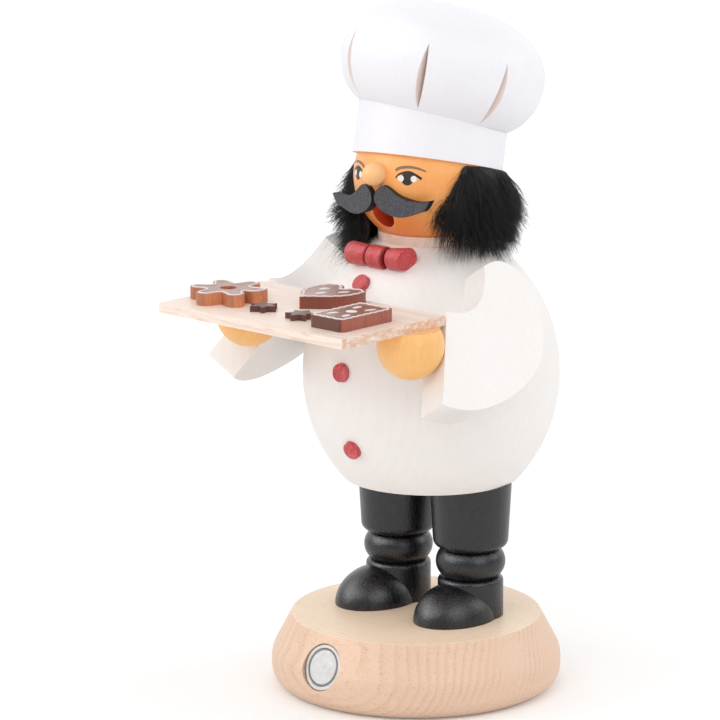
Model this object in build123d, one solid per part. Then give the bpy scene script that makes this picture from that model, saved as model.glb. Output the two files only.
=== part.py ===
from build123d import *
import os
from math import cos, radians, sin, sqrt, tan

# A turned wooden smoker: a pastry cook who carries a board of gingerbread.
# The frame has +Z up, its origin at the centre of the base's underside, the figure
# facing -Y and its left hand towards +X. All sizes are millimetres and degrees.

# Allowances
glue_gap = 0.1
lift_clearance = 0.3

# Base
base_height = 20.3
base_radius = 40.0
base_top_radius = 34.4
base_shoulder_height = 9.7
base_shoulder_rounding = 8.5
base_foot_rounding = 5.5
base_edge_rounding = 0.3

# Round plate let into the base's flank
badge_radius = 6.2
badge_thickness = 0.9
badge_depth = 2.5
badge_height = 11.6
badge_tilt = 20.0
badge_recess_gap = 0.35

# Legs, each one turning from boot to thigh
leg_offset = 13.5
leg_setback = 7.4
boot_radius = 9.05
boot_height = 11.1
boot_rounding = 1.4
groove_radius = 8.1
groove_width = 0.5
ring_radius = 9.6
ring_height = 7.2
thigh_low_radius = 10.4
thigh_top_radius = 11.3
thigh_height = 18.4
thigh_rounding = 2.4
foot_tenon_radius = 4.0
foot_tenon_length = 10.0
waist_tenon_radius = 3.0

# Boot toes
toe_half_length = 13.2
toe_radius = 10.2
toe_forward = {"left": 6.2, "right": 7.4}
toe_outward = {"left": 0.0, "right": 1.3}

# Waist plug, dish and cone
plug_height = 8.0
dish_radius = 11.0
dish_sheet = 0.6
dish_rim = 2.0
nail_radius = 0.7
nail_length = 6.5
nail_head_radius = 1.5
nail_head_height = 0.6
nail_offset = 8.2
cone_radius = 6.0
cone_tip_radius = 1.0
cone_height = 27.0

# Body
body_setback = 6.1
body_radius = 35.3
body_foot_radius = 24.3
body_belly_rise = 28.8
body_shoulder_radius = 25.6
body_shoulder_rise = 56.7
body_neck_radius = 15.2
body_neck_slope = 0.68
body_height = 66.5
chamber_radius = 18.5
chamber_height = 48.0
flue_radius = 5.0
flue_headroom = 0.8

# Neck ring and head
neck_radius = 13.5
neck_height = 2.7
head_setback = 4.5
chin_radius = 13.0
head_radius = 20.1
head_widest_rise = 14.8
head_blank_height = 27.0
mouth_radius = 3.6
mouth_rise = 6.2

# Nose
nose_radius = 3.2
nose_half_length = 4.0
nose_rise = 17.7
nose_proud = 0.9
nose_peg_radius = 1.4
nose_peg_depth = 6.0

# Moustache
moustache_thickness = 2.6
moustache_proud = 2.2
moustache_rise = 10.8
moustache_yaw = 10.0
moustache_tilt = 3.5
moustache_tip = (18.1, 0.4)
moustache_saddle = (12.3, 0.0)
moustache_slope = (7.0, 2.1)
moustache_crest = (3.4, 4.0)
moustache_inner = (0.6, 1.4)
moustache_belly = (9.2, -4.4)
moustache_jowl = (14.6, -2.9)
moustache_tip_leaves = (-1.0, -0.3)
moustache_tip_arrives = (0.55, 1.0)

# Fur strip round the back of the head
wig_radius = 27.6
wig_top_radius = 20.8
wig_bulge_rise = 7.5
wig_drop = 7.0
wig_foot_radius = 17.5
wig_front_angle = 45.0
wig_cut_lean = 30.0
wig_cut_back = 0.8
wig_top_margin = 4.0

# Hat
hat_rise = 18.4
band_radius = 20.6
band_height = 12.4
band_tilt_back = 14.5
band_tilt_side = -3.0
crown_tilt_back = 17.3
crown_tilt_side = 2.6
crown_foot_radius = 20.9
crown_radius = 28.1
crown_widest_rise = 13.0
crown_shoulder_radius = 19.0
crown_shoulder_rise = 27.2
crown_height = 30.8
crown_shift = (-0.45, -0.4)
slit_count = 7
slit_first_azimuth = 28.4
slit_strays = {0: 2.8, 1: -1.2}
slit_low_rise = 0.5
slit_low_step = 0.6
slit_high_rise = 17.4
slit_high_inset = 0.8
slit_angle = 28.0
slit_cutter_radius = 30.0
hat_dowel_radius = 4.0
hat_dowel_depth = 6.0

# Bow tie
bow_drop = 3.55
bow_proud = 1.4
knot_radius = 3.2
knot_length = 6.2
loop_inner_radius = 2.9
loop_outer_radius = 3.2
loop_length = 7.5
loop_tilts = {"left": 8.0, "right": 0.0}
loop_end_slants = {"left": 25.0, "right": 0.0}
bow_spacing = 0.15
bow_rounding = 0.9

# Buttons
button_radius = 2.5
button_proud = 1.4
button_depth = 5.0
button_rounding = 0.4
top_button_drop = 9.6
middle_button_rise = 34.4
bottom_button_rise = 12.9
button_turns = {"top": -4.8, "middle": -0.8, "bottom": 1.6}

# Sleeves, sawn from a flat plank
cuff_overhang = 8.1
cuff_forward = 43.1
cuff_rise = 34.2
sleeve_turn_in = 21.2
sleeve_pitch = 22.3
sleeve_lean = 33.6
sleeve_thickness = 10.25
cuff_height = 27.3
sleeve_crook = (7.4, 29.8)
sleeve_front = (11.4, 44.5)
sleeve_shoulder = (18.0, 47.8)
sleeve_back = (30.8, 33.4)
sleeve_elbow = (20.0, 7.5)
arm_dowel_radius = 2.5
arm_dowel_length = 10.0
arm_dowel_depth = 4.0
arm_dowel_place = (20.0, 40.0)

# Hands
hand_radius = 9.0
hand_forward = 7.5
hand_rise = 16.75
hand_tenon_radius = 2.4
hand_tenon_length = 6.0

# Board and biscuits
board_width = 67.2
board_depth = 39.2
board_thickness = 2.7
board_over_hand = 4.52
board_gap = 0.2
biscuit_thickness = 3.3
flower_place = (-22.5, -4.5)
flower_radius = 10.0
flower_valley_radius = 6.4
flower_hole_radius = 2.2
flower_lobes = 6
flower_lobe_half_angle = 11.0
flower_turn = 27.0
heart_place = (0.5, 9.0)
heart_length = 18.4
heart_half_width = 8.2
heart_notch_depth = 3.2
heart_notch_lean = 0.6
heart_tip_lean = 0.75
heart_turn = -5.0
slab_place = (22.4, -4.1)
slab_width = 12.0
slab_length = 20.0
slab_corner = 1.6
star_places = {"right": (-6.0, -7.9), "left": (8.2, -8.7)}
star_turns = {"right": 10.0, "left": 35.0}
star_radius = 4.0
star_valley_radius = 2.2
star_thickness = 1.6
star_points = 6

# Heights and places that follow from the sizes above
leg_top = base_height + boot_height + ring_height + thigh_height + 2 * groove_width
body_top = leg_top + body_height
bow_rise = body_height - bow_drop
button_rises = {
    "top": body_height - top_button_drop,
    "middle": middle_button_rise,
    "bottom": bottom_button_rise,
}
chin_height = body_top + neck_height
plug_top = leg_top + plug_height
plug_radius = chamber_radius - lift_clearance
leg_axis = Pos(leg_offset, leg_setback, 0)
body_axis = Pos(0, body_setback, 0)
head_axis = Pos(0, head_setback, 0)
far = 200.0
halvings = 40


def turned(*outline):
    """A turning about +Z from an outline of edges drawn in the XZ plane."""
    return revolve(make_face(outline), Axis.Z)


def at(radius, height):
    """A point of a turning's outline."""
    return Vector(radius, 0, height)


def rod(radius, length):
    """A straight round rod that stands on the XY plane."""
    return Cylinder(radius, length, align=(Align.CENTER, Align.CENTER, Align.MIN))


def half_space():
    """A block that fills everything above the XY plane, as far as the figure reaches."""
    return Box(far, far, far, align=(Align.CENTER, Align.CENTER, Align.MIN))


def mirrored(shape):
    """The same piece on the figure's other side."""
    return mirror(shape, about=Plane.YZ)


def bulge_arc(widest, end):
    """An arc that leaves its widest point along the axis and runs to its end."""
    return TangentArc(widest, end, tangent=(0, 0, end.Z - widest.Z))


def height_on(curve, height):
    """Where a rising outline reaches a height, and the direction square to it there."""
    low, high = 0.0, 1.0
    for _ in range(halvings):
        middle = (low + high) / 2
        if (curve @ middle).Z < height:
            low = middle
        else:
            high = middle
    slope = curve % low
    return curve @ low, Vector(slope.Z, 0, -slope.X)


# Base and plate
def make_base():
    outline = FilletPolyline(
        at(0, 0),
        at(base_radius, 0),
        at(base_radius, base_shoulder_height),
        at(base_top_radius, base_height),
        at(0, base_height),
        radius=[base_foot_rounding, base_shoulder_rounding, base_edge_rounding],
    )
    return turned(outline, Line(at(0, base_height), at(0, 0)))


badge_seat_distance = base_radius - badge_depth - badge_thickness
badge_frame = Pos(0, -badge_seat_distance, badge_height) * Rot(X=90 - badge_tilt)
badge_plate = badge_frame * rod(badge_radius, badge_thickness)
badge_recess = badge_frame * rod(badge_radius + badge_recess_gap, base_radius)


# Legs and toes
def make_leg():
    boot_top = base_height + boot_height
    ring_low = boot_top + groove_width
    ring_top = ring_low + ring_height
    thigh_low = ring_top + groove_width
    boot_shoulder = at(boot_radius, boot_top - boot_rounding)
    boot_lip = at(boot_radius - boot_rounding, boot_top)
    thigh_lip = at(thigh_low_radius - thigh_rounding, thigh_low)
    thigh_shoulder = at(thigh_low_radius, thigh_low + thigh_rounding)
    ring_start = at(groove_radius, ring_low)
    ring_middle = at(ring_radius, ring_low + ring_height / 2)
    ring_end = at(groove_radius, ring_top)
    leg = turned(
        Line(at(0, base_height), at(boot_radius, base_height)),
        Line(at(boot_radius, base_height), boot_shoulder),
        TangentArc(boot_shoulder, boot_lip, tangent=(0, 0, 1)),
        Line(boot_lip, at(groove_radius - boot_rounding, boot_top)),
        Line(at(groove_radius - boot_rounding, boot_top), at(groove_radius - boot_rounding, ring_low)),
        Line(at(groove_radius - boot_rounding, ring_low), ring_start),
        ThreePointArc(ring_start, ring_middle, ring_end),
        Line(ring_end, at(groove_radius - boot_rounding, ring_top)),
        Line(at(groove_radius - boot_rounding, ring_top), at(groove_radius - boot_rounding, thigh_low)),
        Line(at(groove_radius - boot_rounding, thigh_low), thigh_lip),
        TangentArc(thigh_shoulder, thigh_lip, tangent=(0, 0, -1)),
        Line(thigh_shoulder, at(thigh_top_radius, leg_top)),
        Line(at(thigh_top_radius, leg_top), at(0, leg_top)),
        Line(at(0, leg_top), at(0, base_height)),
    )
    foot_tenon = Pos(0, 0, base_height - foot_tenon_length) * rod(foot_tenon_radius, foot_tenon_length)
    waist_tenon = Pos(0, 0, leg_top) * rod(waist_tenon_radius, plug_height - glue_gap)
    return leg_axis * (leg + foot_tenon + waist_tenon)


foot_socket = leg_axis * (
    Pos(0, 0, base_height - foot_tenon_length - glue_gap)
    * rod(foot_tenon_radius + glue_gap, foot_tenon_length + 2 * glue_gap)
)
waist_socket = leg_axis * (Pos(0, 0, leg_top) * rod(waist_tenon_radius + glue_gap, plug_height))


def spheroid(half_length, radius):
    """A solid of revolution about the Y axis with the given half length and radius."""
    half_ellipse = Plane.XY * Ellipse(radius, half_length) - Pos(-far / 2, 0, 0) * Rectangle(far, far)
    return revolve(half_ellipse, Axis.Y)


def make_toe(side):
    sign = 1 if side == "left" else -1
    outward = sign * (leg_offset + toe_outward[side])
    toe = Pos(outward, leg_setback - toe_forward[side], base_height) * spheroid(toe_half_length, toe_radius)
    shaft_room = Pos(sign * leg_offset, leg_setback, base_height) * rod(boot_radius + glue_gap, far)
    below_base_top = Pos(0, 0, base_height) * Rot(X=180) * half_space()
    return toe - shaft_room - below_base_top


# Waist plug, dish, nail and cone
def make_plug():
    plug = Pos(0, body_setback, leg_top) * rod(plug_radius, plug_height)
    nail_hole = Pos(0, body_setback + nail_offset, plug_top - nail_length) * rod(
        nail_radius + glue_gap, nail_length
    )
    return plug - waist_socket - mirrored(waist_socket) - nail_hole


def make_dish():
    pan = rod(dish_radius, dish_rim) - Pos(0, 0, dish_sheet) * rod(dish_radius - dish_sheet, dish_rim)
    nail_hole = Pos(0, nail_offset, 0) * rod(nail_radius + glue_gap, dish_sheet)
    return Pos(0, body_setback, plug_top) * (pan - nail_hole)


def make_nail():
    shank = Pos(0, 0, -nail_length) * rod(nail_radius, nail_length + dish_sheet)
    head = Pos(0, 0, dish_sheet) * rod(nail_head_radius, nail_head_height)
    return Pos(0, body_setback + nail_offset, plug_top) * (shank + head)


def make_cone():
    cone = Cone(
        cone_radius, cone_tip_radius, cone_height, align=(Align.CENTER, Align.CENTER, Align.MIN)
    )
    return Pos(0, body_setback, plug_top + dish_sheet) * cone


# Body
body_widest = at(body_radius, leg_top + body_belly_rise)
body_foot = at(body_foot_radius, leg_top)
body_rim = at(body_neck_radius, body_top)
body_low_curve = TangentArc(body_widest, body_foot, tangent=(0, 0, -1))
body_high_curve = Spline(
    body_widest,
    at(body_shoulder_radius, leg_top + body_shoulder_rise),
    body_rim,
    tangents=[Vector(0, 0, 1), Vector(-1, 0, body_neck_slope)],
)
body_blank = body_axis * turned(
    Line(at(0, leg_top), body_foot),
    body_low_curve,
    body_high_curve,
    Line(body_rim, at(0, body_top)),
    Line(at(0, body_top), at(0, leg_top)),
)


def body_front(rise, turn=0):
    """A frame on the body at a height above its foot, turned from the front, +Z square to the surface."""
    height = leg_top + rise
    rising = body_high_curve if rise > body_belly_rise else body_low_curve.reversed()
    point, outward = height_on(rising, height)
    surface = Plane(origin=(0, -point.X, point.Z), x_dir=(1, 0, 0), z_dir=(0, -outward.X, outward.Z))
    return body_axis * Rot(Z=turn) * surface.location


def make_button(name):
    peg = Pos(0, 0, -button_depth) * rod(button_radius, button_depth + button_proud)
    face_edge = peg.edges().sort_by(Axis.Z)[-1]
    return body_front(button_rises[name], button_turns[name]) * fillet(face_edge, button_rounding)


def button_hole(name):
    hole = rod(button_radius + glue_gap, button_depth + button_proud + 2 * glue_gap)
    return body_front(button_rises[name], button_turns[name]) * (Pos(0, 0, -button_depth - glue_gap) * hole)


# Sleeves: local -Y points along the forearm, +Z up the plank and -X inwards
cuff_corner = Pos(body_radius + cuff_overhang, body_setback - cuff_forward, leg_top + cuff_rise)
sleeve_frame = cuff_corner * Rot(Z=-sleeve_turn_in) * Rot(X=-sleeve_pitch) * Rot(Y=-sleeve_lean)


hand_centre = sleeve_frame * Pos(-sleeve_thickness / 2, -hand_forward, hand_rise)
board_underside = hand_centre.position.Z + board_over_hand
board_top = board_underside + board_thickness


def in_plank(back, up):
    """A point of the sleeve's outer face, by how far back from the cuff and how far up it lies."""
    return Vector(0, back, up)


def make_sleeve_blank():
    cuff_low = in_plank(0, 0)
    cuff_top = in_plank(0, cuff_height)
    outline = make_face(
        [
            Line(cuff_low, cuff_top),
            Spline(cuff_top, in_plank(*sleeve_crook), in_plank(*sleeve_front)),
            Spline(
                in_plank(*sleeve_front),
                in_plank(*sleeve_shoulder),
                in_plank(*sleeve_back),
                in_plank(*sleeve_elbow),
                cuff_low,
            ),
        ]
    )
    return sleeve_frame * extrude(outline, amount=sleeve_thickness, dir=(-1, 0, 0))


def arm_dowel(radius, length, depth):
    """A rod that runs inwards through the sleeve at the shoulder."""
    back, up = arm_dowel_place
    return sleeve_frame * (Pos(-depth, back, up) * Rot(Y=-90) * rod(radius, length))


def hand_tenon(radius, length):
    """A rod that runs back into the cuff from the hand's centre line."""
    return hand_centre * (Rot(X=-90) * rod(radius, hand_forward + length))


def make_hand():
    ball = hand_centre * Sphere(hand_radius)
    behind_cuff = sleeve_frame * (Rot(X=-90) * half_space())
    above_board = Pos(0, 0, board_underside) * half_space()
    return ball - behind_cuff - above_board + hand_tenon(hand_tenon_radius, hand_tenon_length)


# Head and face
chin_point = at(chin_radius, chin_height)
head_widest = at(head_radius, chin_height + head_widest_rise)
head_arc_radius = ((head_radius - chin_radius) ** 2 + head_widest_rise**2) / (2 * (head_radius - chin_radius))


def head_radius_at(rise):
    """The head's radius at a height above the chin."""
    away = rise - head_widest_rise
    return head_radius - head_arc_radius + sqrt(head_arc_radius**2 - away**2)


def head_front(rise):
    """The Y of the head's front at a height above the chin."""
    return head_setback - head_radius_at(rise)


head_crest = at(head_radius_at(head_blank_height), chin_height + head_blank_height)
head_blank = head_axis * turned(
    Line(at(0, chin_height), chin_point),
    ThreePointArc(chin_point, head_widest, head_crest),
    Line(head_crest, at(0, head_crest.Z)),
    Line(at(0, head_crest.Z), at(0, chin_height)),
)
nose_place = Pos(0, head_front(nose_rise) - nose_proud, chin_height + nose_rise)
mouth_place = Pos(0, head_setback, chin_height + mouth_rise)


def nose_peg(radius, depth):
    return nose_place * (Rot(X=-90) * rod(radius, nose_proud + depth))


def make_nose():
    knob = nose_place * spheroid(nose_half_length, nose_radius)
    return knob - head_blank + nose_peg(nose_peg_radius, nose_peg_depth)


def make_moustache_half(side, tilt):
    """One sawn half, drawn in its own plane for the figure's left and mirrored for its right."""

    def drawn(across, up):
        return Vector(across, 0, up)

    outline = Spline(
        drawn(*moustache_tip),
        drawn(*moustache_saddle),
        drawn(*moustache_slope),
        drawn(*moustache_crest),
        drawn(*moustache_inner),
        drawn(*moustache_belly),
        drawn(*moustache_jowl),
        drawn(*moustache_tip),
        tangents=[drawn(*moustache_tip_leaves), drawn(*moustache_tip_arrives)],
    )
    plate = extrude(make_face(outline), amount=moustache_thickness, dir=(0, 1, 0))
    face_y = head_front(moustache_rise) - moustache_proud
    placed = Pos(0, face_y, chin_height + moustache_rise) * (Rot(Z=moustache_yaw) * plate)
    if side < 0:
        placed = mirrored(placed)
    pivot = Axis((0, 0, chin_height + moustache_rise), (0, 1, 0))
    return placed.rotate(pivot, -tilt) - head_blank


# Hat
band_frame = Pos(0, head_setback, chin_height + hat_rise) * Rot(X=-band_tilt_back) * Rot(Y=band_tilt_side)
crown_place = (band_frame * Pos(0, 0, band_height)).position
crown_frame = Pos(*crown_place) * Rot(X=-crown_tilt_back) * Rot(Y=crown_tilt_side)
above_rim = band_frame * half_space()


def hat_dowel(gap):
    length = band_height + 2 * (hat_dowel_depth + gap)
    return band_frame * (Pos(0, 0, -hat_dowel_depth - gap) * rod(hat_dowel_radius + gap, length))


def make_band():
    blank = band_frame * rod(band_radius, far)
    return blank - crown_frame * half_space() - hat_dowel(glue_gap)


def make_slit():
    """The sharp-rimmed cutter that makes one slit, in the crown's own frame, at its front."""
    low = Vector(0, -crown_foot_radius - slit_low_step, slit_low_rise)
    high = Vector(0, -crown_radius + slit_high_inset, slit_high_rise)
    along = (high - low).normalized()
    outward = Vector(0, -along.Z, along.Y)
    away = sqrt(slit_cutter_radius**2 - ((high - low).length / 2) ** 2)
    centre = (low + high) * 0.5 + outward * away
    half_thickness = slit_cutter_radius * tan(radians(slit_angle / 2))
    rim = at(slit_cutter_radius, 0)
    cutter = turned(Polyline(at(0, -half_thickness), rim, at(0, half_thickness), close=True))
    return Pos(*centre) * Rot(Y=90) * cutter


def make_crown():
    foot = at(crown_foot_radius, 0)
    widest = at(crown_radius, crown_widest_rise)
    shoulder = at(crown_shoulder_radius, crown_shoulder_rise)
    top = at(0, crown_height)
    crown = turned(
        Line(at(0, 0), foot),
        bulge_arc(widest, foot),
        Spline(widest, shoulder, top, tangents=[Vector(0, 0, 1), Vector(-1, 0, 0)]),
        Line(top, at(0, 0)),
    )
    for number in range(slit_count):
        azimuth = slit_first_azimuth + number * 360 / slit_count + slit_strays.get(number, 0)
        crown -= Rot(Z=azimuth) * make_slit()
    return crown_frame * Pos(*crown_shift, 0) * crown - hat_dowel(glue_gap)


# Fur strip
def make_wig():
    """A strip from temple to temple round the back, cut clear of everything that it lies on."""
    low = chin_height - wig_drop
    outer = at(wig_radius, chin_height + wig_bulge_rise)
    upper = at(wig_top_radius, chin_height + hat_rise + wig_top_margin)
    section = make_face(
        [
            Line(at(wig_foot_radius, low), at(wig_foot_radius, chin_height)),
            Line(at(wig_foot_radius, chin_height), at(chin_radius, chin_height + head_widest_rise)),
            Line(at(chin_radius, chin_height + head_widest_rise), at(chin_radius, upper.Z)),
            Line(at(chin_radius, upper.Z), upper),
            ThreePointArc(upper, outer, at(wig_foot_radius, low)),
        ]
    )
    strip = revolve(section, Axis.Z, revolution_arc=360 - 2 * wig_front_angle)
    strip = head_axis * (Rot(Z=wig_front_angle - 90) * strip)
    front_cut = Pos(0, -wig_cut_back, chin_height + hat_rise) * Rot(X=90 - wig_cut_lean) * half_space()
    return strip - front_cut - above_rim


# Bow tie
def rounded_cone(low_radius, high_radius, length):
    """A short cone along +X with rounded rims, its middle at the origin."""
    low, high = -length / 2, length / 2
    outline = Polyline(at(0, low), at(low_radius, low), at(high_radius, high), at(0, high), close=True)
    cone = turned(outline)
    rims = cone.edges().filter_by(GeomType.CIRCLE)
    return Rot(Y=90) * fillet(rims, bow_rounding)


bow_frame = body_front(bow_rise) * Pos(0, 0, bow_proud)


def make_bow_knot():
    return bow_frame * rounded_cone(knot_radius, knot_radius, knot_length) - body_blank


def make_bow_loop(side):
    """A loop that tilts about its upper inner rim and is sawn off aslant, drawn for the figure's left."""
    loop = Pos(loop_length / 2, 0, 0) * rounded_cone(loop_inner_radius, loop_outer_radius, loop_length)
    loop -= Pos(loop_length, loop_outer_radius, 0) * Rot(Z=-loop_end_slants[side]) * Rot(Y=90) * half_space()
    rim = loop_inner_radius - bow_rounding
    loop = Pos(0, rim, 0) * Rot(Z=loop_tilts[side]) * Pos(0, -rim, 0) * loop
    seated = bow_frame * Pos(knot_length / 2 + bow_spacing, 0, 0) * loop - body_blank
    return seated if side == "left" else mirrored(seated)


# Board and biscuits
def cuff_face_y(x, z):
    """The Y of the cuff's end face at a place beside the board."""
    corner = sleeve_frame.position
    facing = (sleeve_frame * Pos(0, -1, 0)).position - corner
    return corner.Y - (facing.X * (x - corner.X) + facing.Z * (z - corner.Z)) / facing.Y


board_rear = cuff_face_y(board_width / 2, board_underside) - board_gap
board_centre = Pos(0, board_rear - board_depth / 2, board_underside)
board_face = Pos(0, board_rear - board_depth / 2, board_top)


def make_board():
    return board_centre * extrude(Rectangle(board_width, board_depth), amount=board_thickness)


def polar(radius, angle):
    return Vector(radius * cos(radians(angle)), radius * sin(radians(angle)))


def scalloped(count, outer_radius, inner_radius):
    """Points that go round and lie in turn on an outer and an inner circle."""
    step = 180 / count
    return [
        polar(outer_radius if number % 2 == 0 else inner_radius, number * step) for number in range(2 * count)
    ]


def biscuit(outline, thickness, place, turn):
    """A slice of dough of the given outline, lying on the board."""
    dough = extrude(outline, amount=thickness)
    return board_face * (Pos(*place, 0) * Rot(Z=turn) * dough)


def make_flower():
    points = []
    for number in range(flower_lobes):
        middle = number * 360 / flower_lobes
        points.append(polar(flower_radius, middle - flower_lobe_half_angle))
        points.append(polar(flower_radius, middle + flower_lobe_half_angle))
        points.append(polar(flower_valley_radius, middle + 180 / flower_lobes))
    outline = make_face(Spline(points, periodic=True)) - Circle(flower_hole_radius)
    return biscuit(outline, biscuit_thickness, flower_place, flower_turn)


def make_heart():
    """A heart with its point towards the board's front edge."""
    tip = Vector(0, -heart_length / 2)
    notch = Vector(0, heart_length / 2 - heart_notch_depth)
    lobe = Vector(heart_half_width / 2, heart_length / 2)
    flank = Vector(heart_half_width, heart_length / 2 - heart_half_width / 2 - heart_notch_depth / 2)
    right = [
        Spline(notch, lobe, flank, tangents=[Vector(heart_notch_lean, 1), Vector(0, -1)]),
        Spline(flank, tip, tangents=[Vector(0, -1), Vector(-heart_tip_lean, -1)]),
    ]
    left = [edge.mirror(Plane.YZ) for edge in right]
    return biscuit(make_face(right + left), biscuit_thickness, heart_place, heart_turn)


def make_slab():
    outline = RectangleRounded(slab_width, slab_length, slab_corner)
    return biscuit(outline, biscuit_thickness, slab_place, 0)


def make_star(side):
    outline = make_face(Polyline(scalloped(star_points, star_radius, star_valley_radius), close=True))
    return biscuit(outline, star_thickness, star_places[side], star_turns[side])


# Nodes
leg = make_leg()
flue = body_axis * (Pos(0, 0, leg_top) * rod(flue_radius, far))
chamber = body_axis * (Pos(0, 0, leg_top) * rod(chamber_radius, chamber_height))
sleeve_blank = make_sleeve_blank()
dowel_hole = arm_dowel(
    arm_dowel_radius + glue_gap, arm_dowel_length + 2 * glue_gap, arm_dowel_depth - glue_gap
)
arm = sleeve_blank - body_blank - dowel_hole - hand_tenon(
    hand_tenon_radius + glue_gap, hand_tenon_length + glue_gap
)
hand = make_hand()
dowel = arm_dowel(arm_dowel_radius, arm_dowel_length, arm_dowel_depth)
body = body_blank - chamber - flue - dowel_hole - mirrored(dowel_hole)
for name in button_rises:
    body -= button_hole(name)
neck_ring = Pos(0, head_setback, body_top) * rod(neck_radius, neck_height) - flue
mouth = mouth_place * (Rot(X=90) * rod(mouth_radius, far))
head_flue_height = mouth_rise + mouth_radius + flue_headroom
head_flue = body_axis * (Pos(0, 0, chin_height) * rod(flue_radius, head_flue_height))
head = head_blank - above_rim - head_flue - mouth - hat_dowel(glue_gap)
head -= nose_peg(nose_peg_radius + glue_gap, nose_peg_depth + glue_gap)
head_room = head_blank - above_rim
wig = make_wig() - head_room - body_blank - sleeve_blank - mirrored(sleeve_blank)

nodes = {
    "base": make_base() - badge_recess - foot_socket - mirrored(foot_socket),
    "badge_plate": badge_plate,
    "left_leg": leg,
    "right_leg": mirrored(leg),
    "left_boot_toe": make_toe("left"),
    "right_boot_toe": make_toe("right"),
    "waist_plug": make_plug(),
    "cone_dish": make_dish(),
    "dish_nail": make_nail(),
    "incense_cone": make_cone(),
    "body": body,
    "neck_ring": neck_ring,
    "head": head,
    "nose": make_nose(),
    "left_moustache": make_moustache_half(1, moustache_tilt),
    "right_moustache": make_moustache_half(-1, moustache_tilt),
    "wig": wig,
    "hat_band": make_band(),
    "hat_crown": make_crown(),
    "hat_dowel": hat_dowel(0),
    "bow_left": make_bow_loop("left"),
    "bow_knot": make_bow_knot(),
    "bow_right": make_bow_loop("right"),
    "left_arm": arm,
    "right_arm": mirrored(arm),
    "left_arm_dowel": dowel,
    "right_arm_dowel": mirrored(dowel),
    "left_hand": hand,
    "right_hand": mirrored(hand),
    "board": make_board(),
    "flower_biscuit": make_flower(),
    "heart_biscuit": make_heart(),
    "slab_biscuit": make_slab(),
    "left_star_biscuit": make_star("left"),
    "right_star_biscuit": make_star("right"),
}
for name in button_rises:
    nodes[f"{name}_button"] = make_button(name)

os.makedirs("parts", exist_ok=True)
for name, shape in nodes.items():
    export_step(shape, f"parts/{name}.step")
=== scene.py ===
from math import atan2, cos, radians, sin, sqrt, tau

import bmesh
import bpy
from bpy.props import FloatProperty, FloatVectorProperty, IntProperty, PointerProperty
from bpy.types import Operator, Panel, PropertyGroup
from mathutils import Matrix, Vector


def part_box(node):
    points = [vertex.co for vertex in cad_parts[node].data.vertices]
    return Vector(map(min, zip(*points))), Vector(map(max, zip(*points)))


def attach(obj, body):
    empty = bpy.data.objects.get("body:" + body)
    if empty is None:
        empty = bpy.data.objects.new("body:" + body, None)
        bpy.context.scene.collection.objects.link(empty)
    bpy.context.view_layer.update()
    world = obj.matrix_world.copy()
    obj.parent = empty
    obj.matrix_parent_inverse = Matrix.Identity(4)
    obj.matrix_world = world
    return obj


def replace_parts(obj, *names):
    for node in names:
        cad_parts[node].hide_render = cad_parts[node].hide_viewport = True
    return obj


bl_info = {
    "name": "Turned incense smoker",
    "version": (1, 0, 0),
    "blender": (4, 5, 0),
    "location": "3D View > Sidebar > Smoker",
    "description": "Dresses a turned wooden smoker with stain, paint, painted eyes, fur and icing",
    "category": "Object",
}

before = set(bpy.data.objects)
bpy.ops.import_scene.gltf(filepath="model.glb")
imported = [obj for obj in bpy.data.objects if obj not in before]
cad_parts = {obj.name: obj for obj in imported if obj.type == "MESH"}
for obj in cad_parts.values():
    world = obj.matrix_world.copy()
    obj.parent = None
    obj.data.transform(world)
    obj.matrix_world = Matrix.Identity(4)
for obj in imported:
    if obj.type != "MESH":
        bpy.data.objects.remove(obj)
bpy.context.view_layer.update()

MM = 0.001
MERGE = 1e-6
UP = (0.0, 0.0, 1.0)
FORWARD = (0.0, -1.0, 0.0)

# Places read from the pieces themselves
head_low, head_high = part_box("head")
neck_low, neck_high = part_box("neck_ring")
badge_low, badge_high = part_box("badge_plate")
chin_height = head_low.z
head_axis_y = (neck_low.y + neck_high.y) / 2
head_radius = head_high.x
badge_centre = (badge_low + badge_high) / 2

# The head's turned profile, as an arc from the chin to its widest girth
chin_radius = 13.0 * MM
head_widest_rise = 14.8 * MM
head_bulge = head_radius - chin_radius
head_arc_radius = (head_bulge**2 + head_widest_rise**2) / (2 * head_bulge)
mouth_height = chin_height + 6.2 * MM
mouth_radius = 3.6 * MM


# Settings
def colour(name, description, default):
    return FloatVectorProperty(
        name=name, description=description, subtype="COLOR", size=3, min=0.0, max=1.0, default=default
    )


def length(name, description, default):
    return FloatProperty(
        name=name, description=description, subtype="DISTANCE", unit="LENGTH", precision=5, default=default
    )


def angle(name, description, degrees):
    return FloatProperty(
        name=name, description=description, subtype="ANGLE", unit="ROTATION", default=radians(degrees)
    )


def power(name, description, default):
    return FloatProperty(name=name, description=description, subtype="POWER", unit="POWER", default=default)


def plain_number(name, description, default):
    return FloatProperty(name=name, description=description, default=default)


def whole_number(name, description, default):
    return IntProperty(name=name, description=description, min=1, default=default)


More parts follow.
